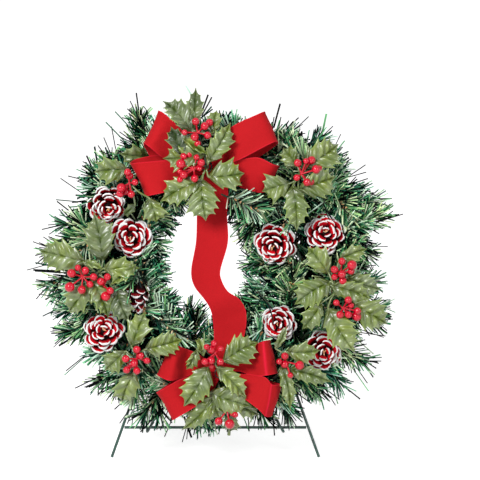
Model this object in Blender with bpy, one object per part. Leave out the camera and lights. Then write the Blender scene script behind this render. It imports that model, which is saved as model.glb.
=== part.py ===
"""Artificial pine wreath with pinecones, holly picks and red ribbon bows, standing on a wire easel.

The wreath lies in a plane that leans back from upright. Points on it are written (u, v, w) in millimetres:
u to the right, v up the wreath, w out towards the viewer, from the centre of the wreath's wire ring.
"""

import math

import bmesh
import bpy
import numpy as np
from mathutils import Vector

MM = 0.001
GAP = 0.3  # air left between pieces that touch

# ---- driving dimensions, millimetres and degrees ----
LEAN_DEG = 15  # how far the wreath leans back
RING_OUTER_R = 128
RING_INNER_R = 100
RING_W = -16  # level of the ring's wire behind the pine
RING_WIRE_R = 1.6
CROSS_WIRE_R = 1.2
CROSS_WIRES = 6
BUNCH_COUNT = 12
BUNCH_BACK_W = RING_W + RING_WIRE_R + GAP
BUNCH_TOP_W = 26
# reach of each pine bunch, and the edge of the centre hole, anticlockwise from the right
BUNCH_REACH = (203, 194, 193, 193, 200, 196, 203, 194, 192, 188, 196, 200)
HOLE_EDGE = (36, 42, 52, 62, 66, 60, 60, 62, 56, 62, 54, 36)

CONE_R = 23
CONE_HEIGHT = 28
CONE_BASE_W = 27.5
PEG_R = 1.3
PEG_END_W = 8
PEG_HOLE_R = PEG_R + GAP

LEAF_THICK = 1.2
LEAF_BASE_W = 60  # level of a pick's hub and of its leaves' bases
BOW_PICK_W = 67  # the same for the picks that lie over a bow
BERRY_ABOVE = 10  # height of the berries over the pick's hub
CLUSTER_ABOVE = 4  # height of the knot where a cluster's stems meet
CLUSTER_R = 1.7
STEM_R = 1.1
BERRY_STEM_R = 0.8
HUB_R = 2.4

RIBBON_WIDTH = 35
RIBBON_THICK = 1.2
LOOP_TOP_W = 57
LOOP_UNDER_W = 31
TIE_R = 6
TIE_LOW_W = 36
TIE_HIGH_W = 55

EASEL_CENTRE_U = -3
LEG_W = RING_W - 2 * RING_WIRE_R - GAP  # legs lie against the back of the ring's wire
WIRE_R = 1.6
BRACE_WIRE_R = 1.4
BAR_V = -182.6
BAR_HALF_LENGTH = 102.6
LEG_SPLAY = 0.358  # sideways run of a leg for each millimetre of height
LEG_TOP_V = -74
FOOT_V = -216
REAR_FOOT_Y = 250  # rear foot behind the centre of the wreath, along the floor
REAR_BEND_V = 108
REAR_TOP_V = 134
BRACE_HOOK_U = 75
BRACE_JOINS_REAR_LEG = 0.84  # share of the rear leg's straight length, from its bend down

SIN = math.sin(math.radians(LEAN_DEG))
COS = math.cos(math.radians(LEAN_DEG))
FLOOR_Z = FOOT_V * COS + LEG_W * SIN  # the floor, from the wreath's centre

# ---- where things sit on the wreath ----
CONES = {  # centre (u, v), radius, and how far the tip leans (u, v)
    1: ((-123, 65), 22, (1, -8)),
    2: ((-95, 28), 23, (0, -1)),
    4: ((-125, -76), 23.5, (1, 3)),
    5: ((63, 19), 23, (-1, -4)),
    6: ((118, 32), 23, (0, 2)),
    7: ((67, -65), 21, (-1, 2)),
    8: ((114, -97), 22, (0, 2)),
}
SIDE_CONE = ((-88, -38), 15, 40)  # centre, radius and length of the cone that lies on its side

# each pick: hub, level, peg, and its leaves as (base, tip, width, level of the tip)
PICKS = {
    "top": {
        "hub": (-12, 104),
        "peg": (-22, 141),
        "level": BOW_PICK_W,
        "leaves": (
            ((-30, 144), (-23, 191), 33, 50),
            ((-31, 144), (-58, 175), 29, 63),
            ((-4, 143), (-1, 164), 14, 60),
            ((-12, 118), (-59, 116), 26, 63),
            ((-8, 112), (15, 151), 20, 63),
            ((-8, 95), (28, 98), 37, 63),
            ((-18, 92), (-62, 66), 24, 62),
            ((-14, 89), (-12, 46), 37, 62),
        ),
        "clusters": {
            "upper": ((-22, 141), ((-24, 153, 4.2), (-14, 148, 4.4), (-9, 153, 4.2), (-36, 141, 3.4),
                                   (-25, 136, 4.4), (-11, 138, 4.0), (-22, 128, 3.9))),
            "lower": ((-28, 103), ((-34, 116, 4.4), (-40, 107, 5.2), (-25, 114, 3.6), (-17, 108, 4.2),
                                   (-38, 95, 4.4), (-43, 88, 3.3), (-25, 91, 4.1), (-19, 99, 3.4))),
        },
    },
    "upper_left": {
        "hub": (-96, 86),
        "peg": (-96, 86),
        "level": LEAF_BASE_W + 1.5,
        "leaves": (
            ((-86, 119), (-113, 121), 18, 58),
            ((-97, 101), (-135, 98), 33, 60),
            ((-75, 70), (-67, 43), 30, 54),
        ),
        "clusters": {
            "": ((-96, 86), ((-99, 98, 3.9), (-94, 94, 4.2), (-88, 87, 3.6), (-105, 82, 4.9),
                             (-107, 74, 4.4), (-99, 76, 3.9), (-91, 75, 3.9))),
        },
    },
    "left": {
        "hub": (-132, -12),
        "peg": (-132, -12),
        "level": LEAF_BASE_W,
        "leaves": (
            ((-125, 1), (-135, 54), 35, 61),
            ((-144, 0), (-196, 13), 31, 40),
            ((-125, -7), (-85, -6), 29, 61),
            ((-139, -25), (-164, -54), 28, 46),
            ((-134, -25), (-119, -57), 20, 61),
            ((-111, -28), (-97, -60), 22, 60),
        ),
        "clusters": {
            "outer": ((-148, -16), ((-154, -5, 3.4), (-145, -8, 4.1), (-161, -13, 4.7), (-138, -17, 3.9),
                                    (-162, -29, 5.5), (-150, -32, 4.4), (-141, -26, 3.7))),
            "inner": ((-125, -28), ((-129, -20, 4.2), (-121, -15, 3.9), (-117, -31, 3.9), (-124, -38, 5.2))),
        },
    },
    "lower_left": {
        "hub": (-90, -103),
        "peg": (-90, -103),
        "level": LEAF_BASE_W + 1.5,
        "leaves": (
            ((-97, -91), (-84, -56), 29, 60),
            ((-79, -95), (-38, -84), 30, 61),
            ((-100, -99), (-124, -120), 26, 58),
            ((-91, -120), (-105, -154), 30, 44),
        ),
        "clusters": {
            "": ((-88, -105), ((-88, -94, 4.4), (-100, -105, 4.0), (-82, -101, 3.4), (-77, -108, 3.6),
                               (-92, -113, 4.2), (-101, -116, 4.0), (-87, -122, 4.0))),
        },
    },
    "bottom": {
        "hub": (-3, -105),
        "peg": (-14, -96),
        "level": BOW_PICK_W,
        "leaves": (
            ((-15, -101), (-34, -114), 15, 62),
            ((-10, -114), (-37, -157), 33, 62),
            ((6, -106), (44, -88), 33, 62),
            ((-1, -114), (30, -147), 22, 63),
        ),
        "clusters": {
            "": ((-3, -99), ((-3, -86, 3.6), (-13, -91, 3.3), (-6, -94, 4.4), (5, -94, 3.4),
                             (-15, -107, 3.9), (-6, -109, 4.2), (4, -107, 4.0))),
        },
    },
    "lowest": {
        "hub": (5, -143),
        "peg": (5, -143),
        "level": LEAF_BASE_W - 3,
        "leaves": (
            ((-2, -146), (-40, -182), 20, 44),
            ((4, -148), (11, -168), 28, 54),
            ((12, -147), (44, -165), 20, 46),
            ((14, -167), (14, -187), 20, 50),
        ),
        "clusters": {"": ((11, -160), ((1, -173, 4.4), (13, -176, 5.5), (20, -166, 3.3)))},
    },
    "lower_right": {
        "hub": (76, -106),
        "peg": (76, -106),
        "level": LEAF_BASE_W,
        "leaves": (
            ((65, -95), (75, -71), 9, 59),
            ((77, -98), (111, -96), 24, 60),
            ((82, -116), (125, -131), 20, 58),
            ((71, -113), (79, -162), 14, 58),
        ),
        "clusters": {"": ((74, -110), ((73, -101, 4.1), (66, -108, 3.3), (90, -112, 5.2), (80, -123, 3.2)))},
    },
    "right": {
        "hub": (130, -30),
        "peg": (130, -30),
        "level": LEAF_BASE_W,
        "leaves": (
            ((117, -13), (96, 15), 24, 60),
            ((138, 4), (163, 14), 14, 54),
            ((141, -16), (178, -25), 19, 50),
            ((122, -21), (84, -44), 31, 60),
            ((118, -45), (95, -72), 22, 60),
            ((145, -42), (184, -65), 29, 44),
            ((123, -51), (147, -96), 31, 60),
        ),
        "clusters": {
            "outer": ((131, -11), ((135, 1, 4.1), (147, -3, 5.0), (126, -7, 4.0), (145, -12, 3.7),
                                   (127, -17, 3.6), (137, -20, 4.4))),
            "inner": ((133, -51), ((130, -42, 3.6), (141, -40, 4.0), (133, -60, 4.2), (125, -59, 3.6),
                                   (152, -50, 4.0), (152, -61, 4.6), (143, -56, 3.9))),
        },
    },
    "upper_right": {
        "hub": (88, 92),
        "peg": (88, 92),
        "level": LEAF_BASE_W + 1.5,
        "leaves": (
            ((97, 110), (133, 132), 33, 50),
            ((86, 107), (72, 123), 20, 61),
            ((79, 90), (48, 77), 28, 62),
            ((82, 84), (86, 34), 29, 60),
            ((93, 83), (129, 97), 31, 54),
        ),
        "clusters": {
            "": ((90, 96), ((86, 108, 4.2), (96, 110, 3.3), (102, 104, 4.2), (111, 102, 4.6),
                            (84, 92, 3.7), (97, 86, 4.2), (104, 92, 3.6))),
        },
    },
}

# each bow: its tie, and its loops as (direction in degrees, length)
BOWS = {
    "top": {
        "tie": (-12, 104),
        "loops": {
            "upper_left": (144.5, 75),
            "lower_left": (190, 76),
            "upper_right": (31.7, 81),
            "lower_right": (-11, 69),
        },
    },
    "bottom": {
        "tie": (2, -121),
        "loops": {
            "upper_left": (172, 65),
            "lower_left": (211, 70),
            "upper_right": (16.7, 61),
            "lower_right": (-27, 66),
        },
    },
}
# centre line of the streamer from the top tie to the bottom tie
STREAMER = (
    (-12, 96.5, 46), (-9, 78, 42), (-7, 55, 38), (-6, 22, 34), (-10, -3, 36), (-11, -20, 40),
    (-5, -34, 43), (6, -48, 42), (12, -62, 38), (13, -80, 38), (9, -100, 43), (4, -113.5, 46),
)

# ---- colours, linear, with roughness and metallic ----
FINISHES = {
    "ring_wire": ((0.004, 0.045, 0.03), 0.45, 0.2),
    "easel_wire": ((0.004, 0.045, 0.03), 0.4, 0.2),
    "pine": ((0.018, 0.09, 0.05), 0.6, 0.0),
    "cone": ((0.22, 0.012, 0.015), 0.55, 0.0),
    "leaf": ((0.17, 0.24, 0.05), 0.45, 0.0),
    "berry": ((0.72, 0.01, 0.03), 0.2, 0.0),
    "ribbon": ((0.73, 0.012, 0.018), 0.85, 0.0),
    "tie_wire": ((0.02, 0.06, 0.03), 0.5, 0.3),
}


def clear_scene():
    for obj in list(bpy.data.objects):
        bpy.data.objects.remove(obj, do_unlink=True)


def finish_material(name, kind):
    colour, roughness, metallic = FINISHES[kind]
    mat = bpy.data.materials.new(name)
    mat.use_nodes = True
    shader = mat.node_tree.nodes["Principled BSDF"]
    shader.inputs["Base Color"].default_value = (*colour, 1.0)
    shader.inputs["Roughness"].default_value = roughness
    shader.inputs["Metallic"].default_value = metallic
    return mat


def add_empty(name, parent=None):
    empty = bpy.data.objects.new(name, None)
    bpy.context.scene.collection.objects.link(empty)
    empty.parent = parent
    return empty


def add_object(name, bm, kind, parent, smooth=True):
    """Links a mesh, made in millimetres, as one sub-part with its own material."""
    bmesh.ops.scale(bm, vec=(MM, MM, MM), verts=bm.verts)
    bmesh.ops.recalc_face_normals(bm, faces=bm.faces)
    mesh = bpy.data.meshes.new(name)
    bm.to_mesh(mesh)
    bm.free()
    if smooth:
        mesh.shade_smooth()
        mesh.set_sharp_from_angle(angle=math.radians(35))
    mesh.materials.append(finish_material(name, kind))
    obj = bpy.data.objects.new(name, mesh)
    bpy.context.scene.collection.objects.link(obj)
    obj.parent = parent
    return obj


def add_guide(name, bm, parent):
    """A helper solid for Booleans, which isn't part of the object."""
    guide = add_object(name, bm, "tie_wire", parent, smooth=False)
    guide.hide_render = True
    guide.display_type = "WIRE"
    return guide


def boolean(obj, other, operation, use_self=False):
    mod = obj.modifiers.new(operation.lower(), "BOOLEAN")
    mod.operation = operation
    mod.solver = "EXACT"
    mod.object = other
    mod.use_self = use_self


# ---- shapes, in millimetres ----
def bridge_rings(bm, rings):
    """Joins equal rings of vertices into one closed tube with flat ends."""
    count = len(rings[0])
    for low, high in zip(rings, rings[1:]):
        for i in range(count):
            j = (i + 1) % count
            bm.faces.new((low[i], low[j], high[j], high[i]))
    bm.faces.new(list(reversed(rings[0])))
    bm.faces.new(rings[-1])


def add_tube(bm, points, radius, sides=6, floor_at=None):
    """A round wire along points. floor_at, a point and a normal, cuts its last end flat there."""
    points = [Vector(p) for p in points]
    steps = [(b - a).normalized() for a, b in zip(points, points[1:])]
    tangents = [steps[0]] + [(a + b).normalized() for a, b in zip(steps, steps[1:])] + [steps[-1]]
    side = tangents[0].orthogonal().normalized()
    rings = []
    for point, tangent in zip(points, tangents):
        side = (side - tangent * side.dot(tangent)).normalized()
        other = tangent.cross(side)
        ring = []
        for i in range(sides):
            angle = 2 * math.pi * i / sides
            place = point + (side * math.cos(angle) + other * math.sin(angle)) * radius
            if floor_at and point is points[-1]:
                centre, normal = floor_at
                place += tangent * ((centre - place).dot(normal) / tangent.dot(normal))
            ring.append(bm.verts.new(place))
        rings.append(ring)
    bridge_rings(bm, rings)


def add_turned(bm, profile, sides, place):
    """A turned solid: profile is (radius, height) pairs between two points on its axis."""
    start = bm.verts.new(place(0, 0, profile[0][1]))
    end = bm.verts.new(place(0, 0, profile[-1][1]))
    rings = []
    for radius, height in profile[1:-1]:
        ring = []
        for i in range(sides):
            angle = 2 * math.pi * i / sides
            ring.append(bm.verts.new(place(radius * math.cos(angle), radius * math.sin(angle), height)))
        rings.append(ring)
    for i in range(sides):
        j = (i + 1) % sides
        bm.faces.new((start, rings[0][j], rings[0][i]))
        bm.faces.new((end, rings[-1][i], rings[-1][j]))
        for low, high in zip(rings, rings[1:]):
            bm.faces.new((low[i], low[j], high[j], high[i]))


def add_ball(bm, centre, radius, sides=6):
    steps = (0, 55, 125, 180)
    profile = [(radius * math.sin(math.radians(a)), -radius * math.cos(math.radians(a))) for a in steps]
    add_turned(bm, profile, sides, lambda x, y, z: (centre[0] + x, centre[1] + y, centre[2] + z))


def add_ring_wire(bm, radius, segments=36, sides=6):
    rings = []
    for k in range(segments):
        turn = 2 * math.pi * k / segments
        ring = []
        for i in range(sides):
            angle = 2 * math.pi * i / sides
            reach = radius + RING_WIRE_R * math.cos(angle)
            level = RING_W + RING_WIRE_R * math.sin(angle)
            ring.append(bm.verts.new((reach * math.cos(turn), reach * math.sin(turn), level)))
        rings.append(ring)
    for k in range(segments):
        low, high = rings[k], rings[(k + 1) % segments]
        for i in range(sides):
            j = (i + 1) % sides
            bm.faces.new((low[i], low[j], high[j], high[i]))


def add_leaf(bm, base, tip, width):
    """A flat holly leaf with spines, from base to tip, as a thin plate."""
    base, tip = Vector(base), Vector(tip)
    along = tip - base
    across = along.cross(Vector((0, 0, 1))).normalized() * (width / 2)
    normal = across.cross(along).normalized() * LEAF_THICK
    # share of the length, and of the half width, at each spine and each notch
    edge = ((0.0, 0.1), (0.2, 0.8), (0.3, 0.52), (0.45, 1.0), (0.57, 0.56), (0.7, 0.72), (0.8, 0.32))
    outline = [base + along * t + across * s for t, s in edge] + [tip]
    outline += [base + along * t - across * s for t, s in reversed(edge)]
    under = [bm.verts.new(p) for p in outline]
    over = [bm.verts.new(p + normal) for p in outline]
    bridge_rings(bm, [under, over])


def add_ribbon(bm, line, widths, across):
    """A ribbon along line. across(i) is its unit sideways direction at point i."""
    line = [Vector(p) for p in line]
    rings = []
    for i, point in enumerate(line):
        tangent = (line[min(i + 1, len(line) - 1)] - line[max(i - 1, 0)]).normalized()
        side = across(i)
        thick = tangent.cross(side).normalized() * (RIBBON_THICK / 2)
        half = side * (widths[i] / 2)
        rings.append([bm.verts.new(point + a + b) for a, b in
                      ((half, thick), (-half, thick), (-half, -thick), (half, -thick))])
    bridge_rings(bm, rings)


# ---- sub-parts ----
def make_ring_frame(plane):
    bm = bmesh.new()
    add_ring_wire(bm, RING_OUTER_R)
    add_ring_wire(bm, RING_INNER_R)
    ring = add_object("ring_frame", bm, "ring_wire", plane)
    bm = bmesh.new()
    for k in range(CROSS_WIRES):
        turn = 2 * math.pi * k / CROSS_WIRES
        ends = [(r * math.cos(turn), r * math.sin(turn), RING_W) for r in (RING_INNER_R, RING_OUTER_R)]
        add_tube(bm, ends, CROSS_WIRE_R)
    boolean(ring, add_guide("ring_cross_wires", bm, plane), "UNION")


def make_bunches(plane):
    """Pine bunches as wedges around the ring, each with the holes that pegs go into."""
    bm = bmesh.new()
    pegs = [place for place, _, _ in CONES.values()] + [SIDE_CONE[0]]
    pegs += [pick["peg"] for pick in PICKS.values()] + [bow["tie"] for bow in BOWS.values()]
    for u, v in pegs:
        add_tube(bm, [(u, v, PEG_END_W - GAP), (u, v, BUNCH_TOP_W + 10)], PEG_HOLE_R, 6)
    holes = add_guide("peg_holes", bm, plane)
    spread = 360 / BUNCH_COUNT
    for k in range(BUNCH_COUNT):
        reach = BUNCH_REACH[k]
        hole = HOLE_EDGE[k]
        section = (
            (hole + 10, BUNCH_BACK_W), (reach - 42, BUNCH_BACK_W), (reach - 8, -3), (reach, 5),
            (reach - 30, 20), (reach - 60, BUNCH_TOP_W), (hole + 24, BUNCH_TOP_W - 2), (hole, 8),
        )
        bm = bmesh.new()
        rings = []
        margin = math.degrees(GAP / 2 / hole)
        for step in np.linspace(margin - spread / 2, spread / 2 - margin, 4):
            turn = math.radians(spread * k + step)
            rings.append([bm.verts.new((r * math.cos(turn), r * math.sin(turn), w)) for r, w in section])
        bridge_rings(bm, rings)
        bunch = add_object(f"pine_bunch_{k + 1:02d}", bm, "pine", plane)
        boolean(bunch, holes, "DIFFERENCE")


def cone_profile(radius, height):
    """Tiers of scales, each wide at its rim and narrower under the next one."""
    profile = []
    tiers = ((0.72, 0.1), (1.0, 0.3), (0.93, 0.5), (0.7, 0.68), (0.42, 0.84))
    for rim, level in tiers:
        profile.append((radius * rim, height * level))
        profile.append((radius * (rim - 0.2), height * (level + 0.08)))
    return profile + [(0, height)]


def make_cones(plane):
    for number, ((u, v), radius, lean) in CONES.items():
        def place(x, y, z):
            up = max(0.0, z - CONE_BASE_W) / CONE_HEIGHT
            return (u + x + lean[0] * up, v + y + lean[1] * up, z)

        profile = [(0, PEG_END_W), (PEG_R, PEG_END_W), (PEG_R, CONE_BASE_W)]
        profile += [(r, CONE_BASE_W + h) for r, h in cone_profile(radius, CONE_HEIGHT)]
        bm = bmesh.new()
        add_turned(bm, profile, 10, place)
        add_object(f"pinecone_{number}", bm, "cone", plane)
    (u, v), radius, length = SIDE_CONE
    level = BUNCH_TOP_W + 1 + radius
    bm = bmesh.new()
    profile = [(0, 0)] + cone_profile(radius, length)
    add_turned(bm, profile, 10, lambda x, y, z: (u + x, v + z - length / 2, level + y))
    cone = add_object("pinecone_3", bm, "cone", plane)
    bm = bmesh.new()
    add_tube(bm, [(u, v, PEG_END_W), (u, v, level)], PEG_R)
    boolean(cone, add_guide("side_cone_peg", bm, plane), "UNION")


def make_pick(name, pick, plane):
    hub = Vector((*pick["hub"], pick["level"]))
    head = Vector((*pick["peg"], pick["level"]))
    bm = bmesh.new()
    for base, tip, width, tip_level in pick["leaves"]:
        base = Vector((*base, pick["level"]))
        near = hub if (base - hub).length <= (base - head).length else head
        add_leaf(bm, base, (*tip, tip_level), width)
        add_tube(bm, [near, base + (base - near).normalized() * 3], STEM_R, 4)
    leaves = add_object(f"holly_leaves_{name}", bm, "leaf", plane, smooth=False)
    bm = bmesh.new()
    add_tube(bm, [(*pick["peg"], PEG_END_W), head + Vector((0, 0, 1.2))], PEG_R)
    add_ball(bm, hub, HUB_R)
    if (hub - head).length > 1:
        add_tube(bm, [hub, head], STEM_R + 0.4)
    boolean(leaves, add_guide(f"holly_stem_{name}", bm, plane), "UNION", use_self=True)
    for cluster, (node, berries) in pick["clusters"].items():
        make_cluster("_".join(filter(None, ("berries", name, cluster))), node, berries, pick["level"], plane)


def make_cluster(name, node, berries, level, plane):
    """Berries on short stems that meet over the pick's hub."""
    foot = Vector((*node, level + CLUSTER_ABOVE))
    bm = bmesh.new()
    for u, v, radius in berries:
        centre = Vector((u, v, level + BERRY_ABOVE))
        add_ball(bm, centre, radius)
        add_tube(bm, [foot, centre], BERRY_STEM_R, 3)
    cluster = add_object(name, bm, "berry", plane)
    bm = bmesh.new()
    add_ball(bm, foot, CLUSTER_R)
    boolean(cluster, add_guide(f"{name}_node", bm, plane), "UNION", use_self=True)


def make_bow(name, bow, plane):
    centre = Vector((*bow["tie"], 0))
    bm = bmesh.new()
    profile = (
        (0, PEG_END_W), (PEG_R, PEG_END_W), (PEG_R, TIE_LOW_W),
        (TIE_R, TIE_LOW_W), (TIE_R, TIE_HIGH_W), (0, TIE_HIGH_W),
    )
    add_turned(bm, profile, 12, lambda x, y, z: centre + Vector((x, y, z)))
    add_object(f"bow_{name}_tie", bm, "tie_wire", plane)
    middle = (LOOP_TOP_W + LOOP_UNDER_W) / 2
    bend = (LOOP_TOP_W - LOOP_UNDER_W) / 2
    for place, (direction, length) in bow["loops"].items():
        turn = math.radians(direction)
        out = Vector((math.cos(turn), math.sin(turn), 0))
        side = Vector((-math.sin(turn), math.cos(turn), 0))
        start = TIE_R + GAP
        # runs out over the top, round the end, and back underneath
        path = [(start, 50), (20, LOOP_TOP_W - 1), (length * 0.55, LOOP_TOP_W)]
        for angle in (90, 50, 0, -50, -90):
            a = math.radians(angle)
            path.append((length - bend + bend * math.cos(a), middle + bend * math.sin(a)))
        path += [(length * 0.5, LOOP_UNDER_W), (22, LOOP_UNDER_W + 2), (start, 40)]
        widths = [min(RIBBON_WIDTH, 0.6 * s) for s, _ in path]
        line = [centre + out * s + Vector((0, 0, w)) for s, w in path]
        bm = bmesh.new()
        add_ribbon(bm, line, widths, lambda i, side=side: side)
        add_object(f"bow_{name}_loop_{place}", bm, "ribbon", plane)


def make_streamer(plane):
    line = [Vector(p) for p in STREAMER]
    widths = [8, 22] + [RIBBON_WIDTH] * (len(line) - 4) + [20, 8]

    def across(i):
        run = line[min(i + 1, len(line) - 1)] - line[max(i - 1, 0)]
        return Vector((-run.y, run.x, 0)).normalized()

    bm = bmesh.new()
    add_ribbon(bm, line, widths, across)
    add_object("ribbon_streamer", bm, "ribbon", plane)


def leg_point(sign, v):
    return Vector((EASEL_CENTRE_U + sign * (BAR_HALF_LENGTH - LEG_SPLAY * (v - BAR_V)), v, LEG_W))


def make_easel(plane):
    down = Vector((0, -COS, -SIN))  # straight down, seen in the wreath's plane
    back, height = REAR_FOOT_Y, FLOOR_Z
    rear_foot = Vector((EASEL_CENTRE_U, back * SIN + height * COS, height * SIN - back * COS))
    for side, sign in (("left", -1), ("right", 1)):
        foot = leg_point(sign, FOOT_V)
        bm = bmesh.new()
        add_tube(bm, [leg_point(sign, LEG_TOP_V), foot], WIRE_R, 8, (foot, down))
        add_object(f"easel_leg_{side}", bm, "easel_wire", plane)

    bm = bmesh.new()
    inset = WIRE_R * (1.06 + LEG_SPLAY) + GAP
    left_end = leg_point(-1, BAR_V) + Vector((inset, 0, 0))
    right_end = leg_point(1, BAR_V) - Vector((inset, 0, 0))
    add_tube(bm, [left_end, right_end], WIRE_R, 8)
    add_object("easel_base_bar", bm, "easel_wire", plane)

    bend = Vector((EASEL_CENTRE_U, REAR_BEND_V, LEG_W))
    top = Vector((EASEL_CENTRE_U, REAR_TOP_V, LEG_W))
    bm = bmesh.new()
    add_tube(bm, [top, bend, rear_foot], WIRE_R, 8, (rear_foot, down))
    add_object("easel_rear_leg", bm, "easel_wire", plane)

    joint = bend.lerp(rear_foot, BRACE_JOINS_REAR_LEG)
    for side, sign in (("left", -1), ("right", 1)):
        hook = EASEL_CENTRE_U + sign * BRACE_HOOK_U
        inward = -sign
        start = joint + Vector((sign * (WIRE_R + BRACE_WIRE_R + GAP + 0.6), 0, 0))
        path = [
            start,
            (hook + 6 * inward, BAR_V + 6.6, LEG_W - 6.5),
            (hook + inward, BAR_V - 3.4, LEG_W - 4.6),
            (hook, BAR_V - 4.6, LEG_W),
            (hook + 0.5 * inward, BAR_V - 3.0, LEG_W + 4.2),
            (hook + 7 * inward, BAR_V + 6.6, LEG_W + 4.8),
        ]
        bm = bmesh.new()
        add_tube(bm, path, BRACE_WIRE_R, 6)
        add_object(f"easel_brace_{side}", bm, "easel_wire", plane)


def set_origin_under_middle(root):
    """Puts the world origin on the floor under the middle of the object's bounding box."""
    bpy.context.view_layer.update()
    graph = bpy.context.evaluated_depsgraph_get()
    corners = []
    for obj in bpy.context.scene.objects:
        if obj.type == "MESH" and not obj.hide_render:
            mesh = obj.evaluated_get(graph).to_mesh()
            place = np.array(obj.matrix_world)
            points = np.array([v.co for v in mesh.vertices]) @ place[:3, :3].T + place[:3, 3]
            corners += [points.min(0), points.max(0)]
    low, high = np.min(corners, axis=0), np.max(corners, axis=0)
    root.location -= Vector(((low[0] + high[0]) / 2, (low[1] + high[1]) / 2, low[2]))


def main():
    clear_scene()
    root = add_empty("wreath_and_easel")
    plane = add_empty("wreath_plane", root)
    plane.rotation_euler = (math.radians(90 - LEAN_DEG), 0, 0)
    make_ring_frame(plane)
    make_bunches(plane)
    make_cones(plane)
    for name, pick in PICKS.items():
        make_pick(name, pick, plane)
    for name, bow in BOWS.items():
        make_bow(name, bow, plane)
    make_streamer(plane)
    make_easel(plane)
    set_origin_under_middle(root)


main()
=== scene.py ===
"""Looks of the pine wreath: needles, painted cones, holly leaves, berries, velvet ribbon and wires.

Points on the wreath are written (u, v, w) in millimetres, from the centre of its wire ring: u to the right,
v up the leaning wreath and w out towards the viewer.
"""

import math

import bpy
import numpy as np
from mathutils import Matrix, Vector


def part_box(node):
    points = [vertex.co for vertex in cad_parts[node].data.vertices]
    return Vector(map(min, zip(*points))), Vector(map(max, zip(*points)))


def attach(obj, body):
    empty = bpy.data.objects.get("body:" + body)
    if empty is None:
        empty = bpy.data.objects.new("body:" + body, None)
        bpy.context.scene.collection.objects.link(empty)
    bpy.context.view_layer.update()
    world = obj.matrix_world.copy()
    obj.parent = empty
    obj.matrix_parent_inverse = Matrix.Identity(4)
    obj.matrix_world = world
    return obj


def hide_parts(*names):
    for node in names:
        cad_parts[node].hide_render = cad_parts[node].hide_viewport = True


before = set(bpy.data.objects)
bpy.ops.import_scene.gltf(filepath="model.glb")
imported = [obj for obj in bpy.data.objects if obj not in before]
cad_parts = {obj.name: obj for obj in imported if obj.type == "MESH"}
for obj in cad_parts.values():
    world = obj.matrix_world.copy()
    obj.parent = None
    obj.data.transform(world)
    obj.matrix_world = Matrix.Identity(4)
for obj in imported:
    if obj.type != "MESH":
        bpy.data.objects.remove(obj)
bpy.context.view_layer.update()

MM = 0.001
TAU = 2 * math.pi
SEED = 16

# ---- the wreath's plane, from the frame ----
LEAN = math.radians(15)
RING_W = -16  # level of the ring's wire
RING_RADII = (100, 128)
RING_WIRE_R, CROSS_WIRE_R = 1.6, 1.2
AXIS_U = np.array((1.0, 0.0, 0.0))
AXIS_V = np.array((0.0, math.sin(LEAN), math.cos(LEAN)))
AXIS_W = np.array((0.0, -math.cos(LEAN), math.sin(LEAN)))
ring_low, ring_high = (np.array(corner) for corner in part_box("ring_frame"))
CENTRE = (ring_low + ring_high) / 2 - AXIS_W * RING_W * MM
TO_FRAME = np.stack((AXIS_U, AXIS_V, AXIS_W)) * MM


def to_frame(points):
    """Wreath millimetres (u, v, w) to the frame's metres."""
    return np.asarray(points, float) @ TO_FRAME + CENTRE


def polar(radius, degrees, level):
    a = math.radians(degrees)
    return np.array((radius * math.cos(a), radius * math.sin(a), level))


def unit(v):
    v = np.asarray(v, float)
    return v / np.maximum(np.linalg.norm(v, axis=-1, keepdims=True), 1e-12)


# ---- mesh helpers ----
def add_to_scene(name, data):
    made = bpy.data.objects.new(name, data)
    bpy.context.scene.collection.objects.link(made)
    return made


class Solid:
    """Gathers vertices, faces, material numbers and one colour attribute, all in wreath millimetres."""

    def __init__(self):
        self.verts, self.looks = [], []
        self.faces, self.mats = {4: [], 3: []}, {4: [], 3: []}
        self.count = 0

    def add(self, verts, quads, tris=(), mat=0, look=(0, 0, 0, 0)):
        verts = np.asarray(verts, float).reshape(-1, 3)
        for corners, faces in ((4, quads), (3, tris)):
            faces = np.asarray(faces, int).reshape(-1, corners)
            self.faces[corners].append(faces + self.count)
            self.mats[corners].append(np.full(len(faces), mat))
        self.verts.append(verts)
        self.looks.append(np.broadcast_to(np.asarray(look, float), (len(verts), 4)))
        self.count += len(verts)

    def build(self, name, materials, sharp_deg):
        """An object of all that was added. Its materials are named in the order of their numbers."""
        quads, tris = np.concatenate(self.faces[4]), np.concatenate(self.faces[3])
        sizes = np.repeat((4, 3), (len(quads), len(tris)))
        mesh = bpy.data.meshes.new(name)
        mesh.vertices.add(self.count)
        mesh.vertices.foreach_set("co", to_frame(np.concatenate(self.verts)).ravel())
        mesh.loops.add(quads.size + tris.size)
        mesh.loops.foreach_set("vertex_index", np.concatenate((quads.ravel(), tris.ravel())))
        mesh.polygons.add(len(sizes))
        mesh.polygons.foreach_set("loop_start", np.cumsum(sizes) - sizes)
        mesh.polygons.foreach_set("material_index", np.concatenate(self.mats[4] + self.mats[3]))
        mesh.update(calc_edges=True)
        mesh.validate()
        look = mesh.attributes.new("look", "FLOAT_COLOR", "POINT")
        look.data.foreach_set("color", np.concatenate(self.looks).ravel())
        mesh.shade_smooth()
        mesh.set_sharp_from_angle(angle=math.radians(sharp_deg))
        for material in materials:
            mesh.materials.append(MATERIALS[material])
        return add_to_scene(name, mesh)


def grid_quads(rows, columns, closed=False):
    """Quads of a rows by columns grid of vertices, wrapping round the columns if closed."""
    last = columns if closed else columns - 1
    i, j = np.meshgrid(np.arange(rows - 1), np.arange(last), indexing="ij")
    here, beside = i * columns + j, i * columns + (j + 1) % columns
    return np.stack((here, beside, beside + columns, here + columns), -1).reshape(-1, 4)


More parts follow.
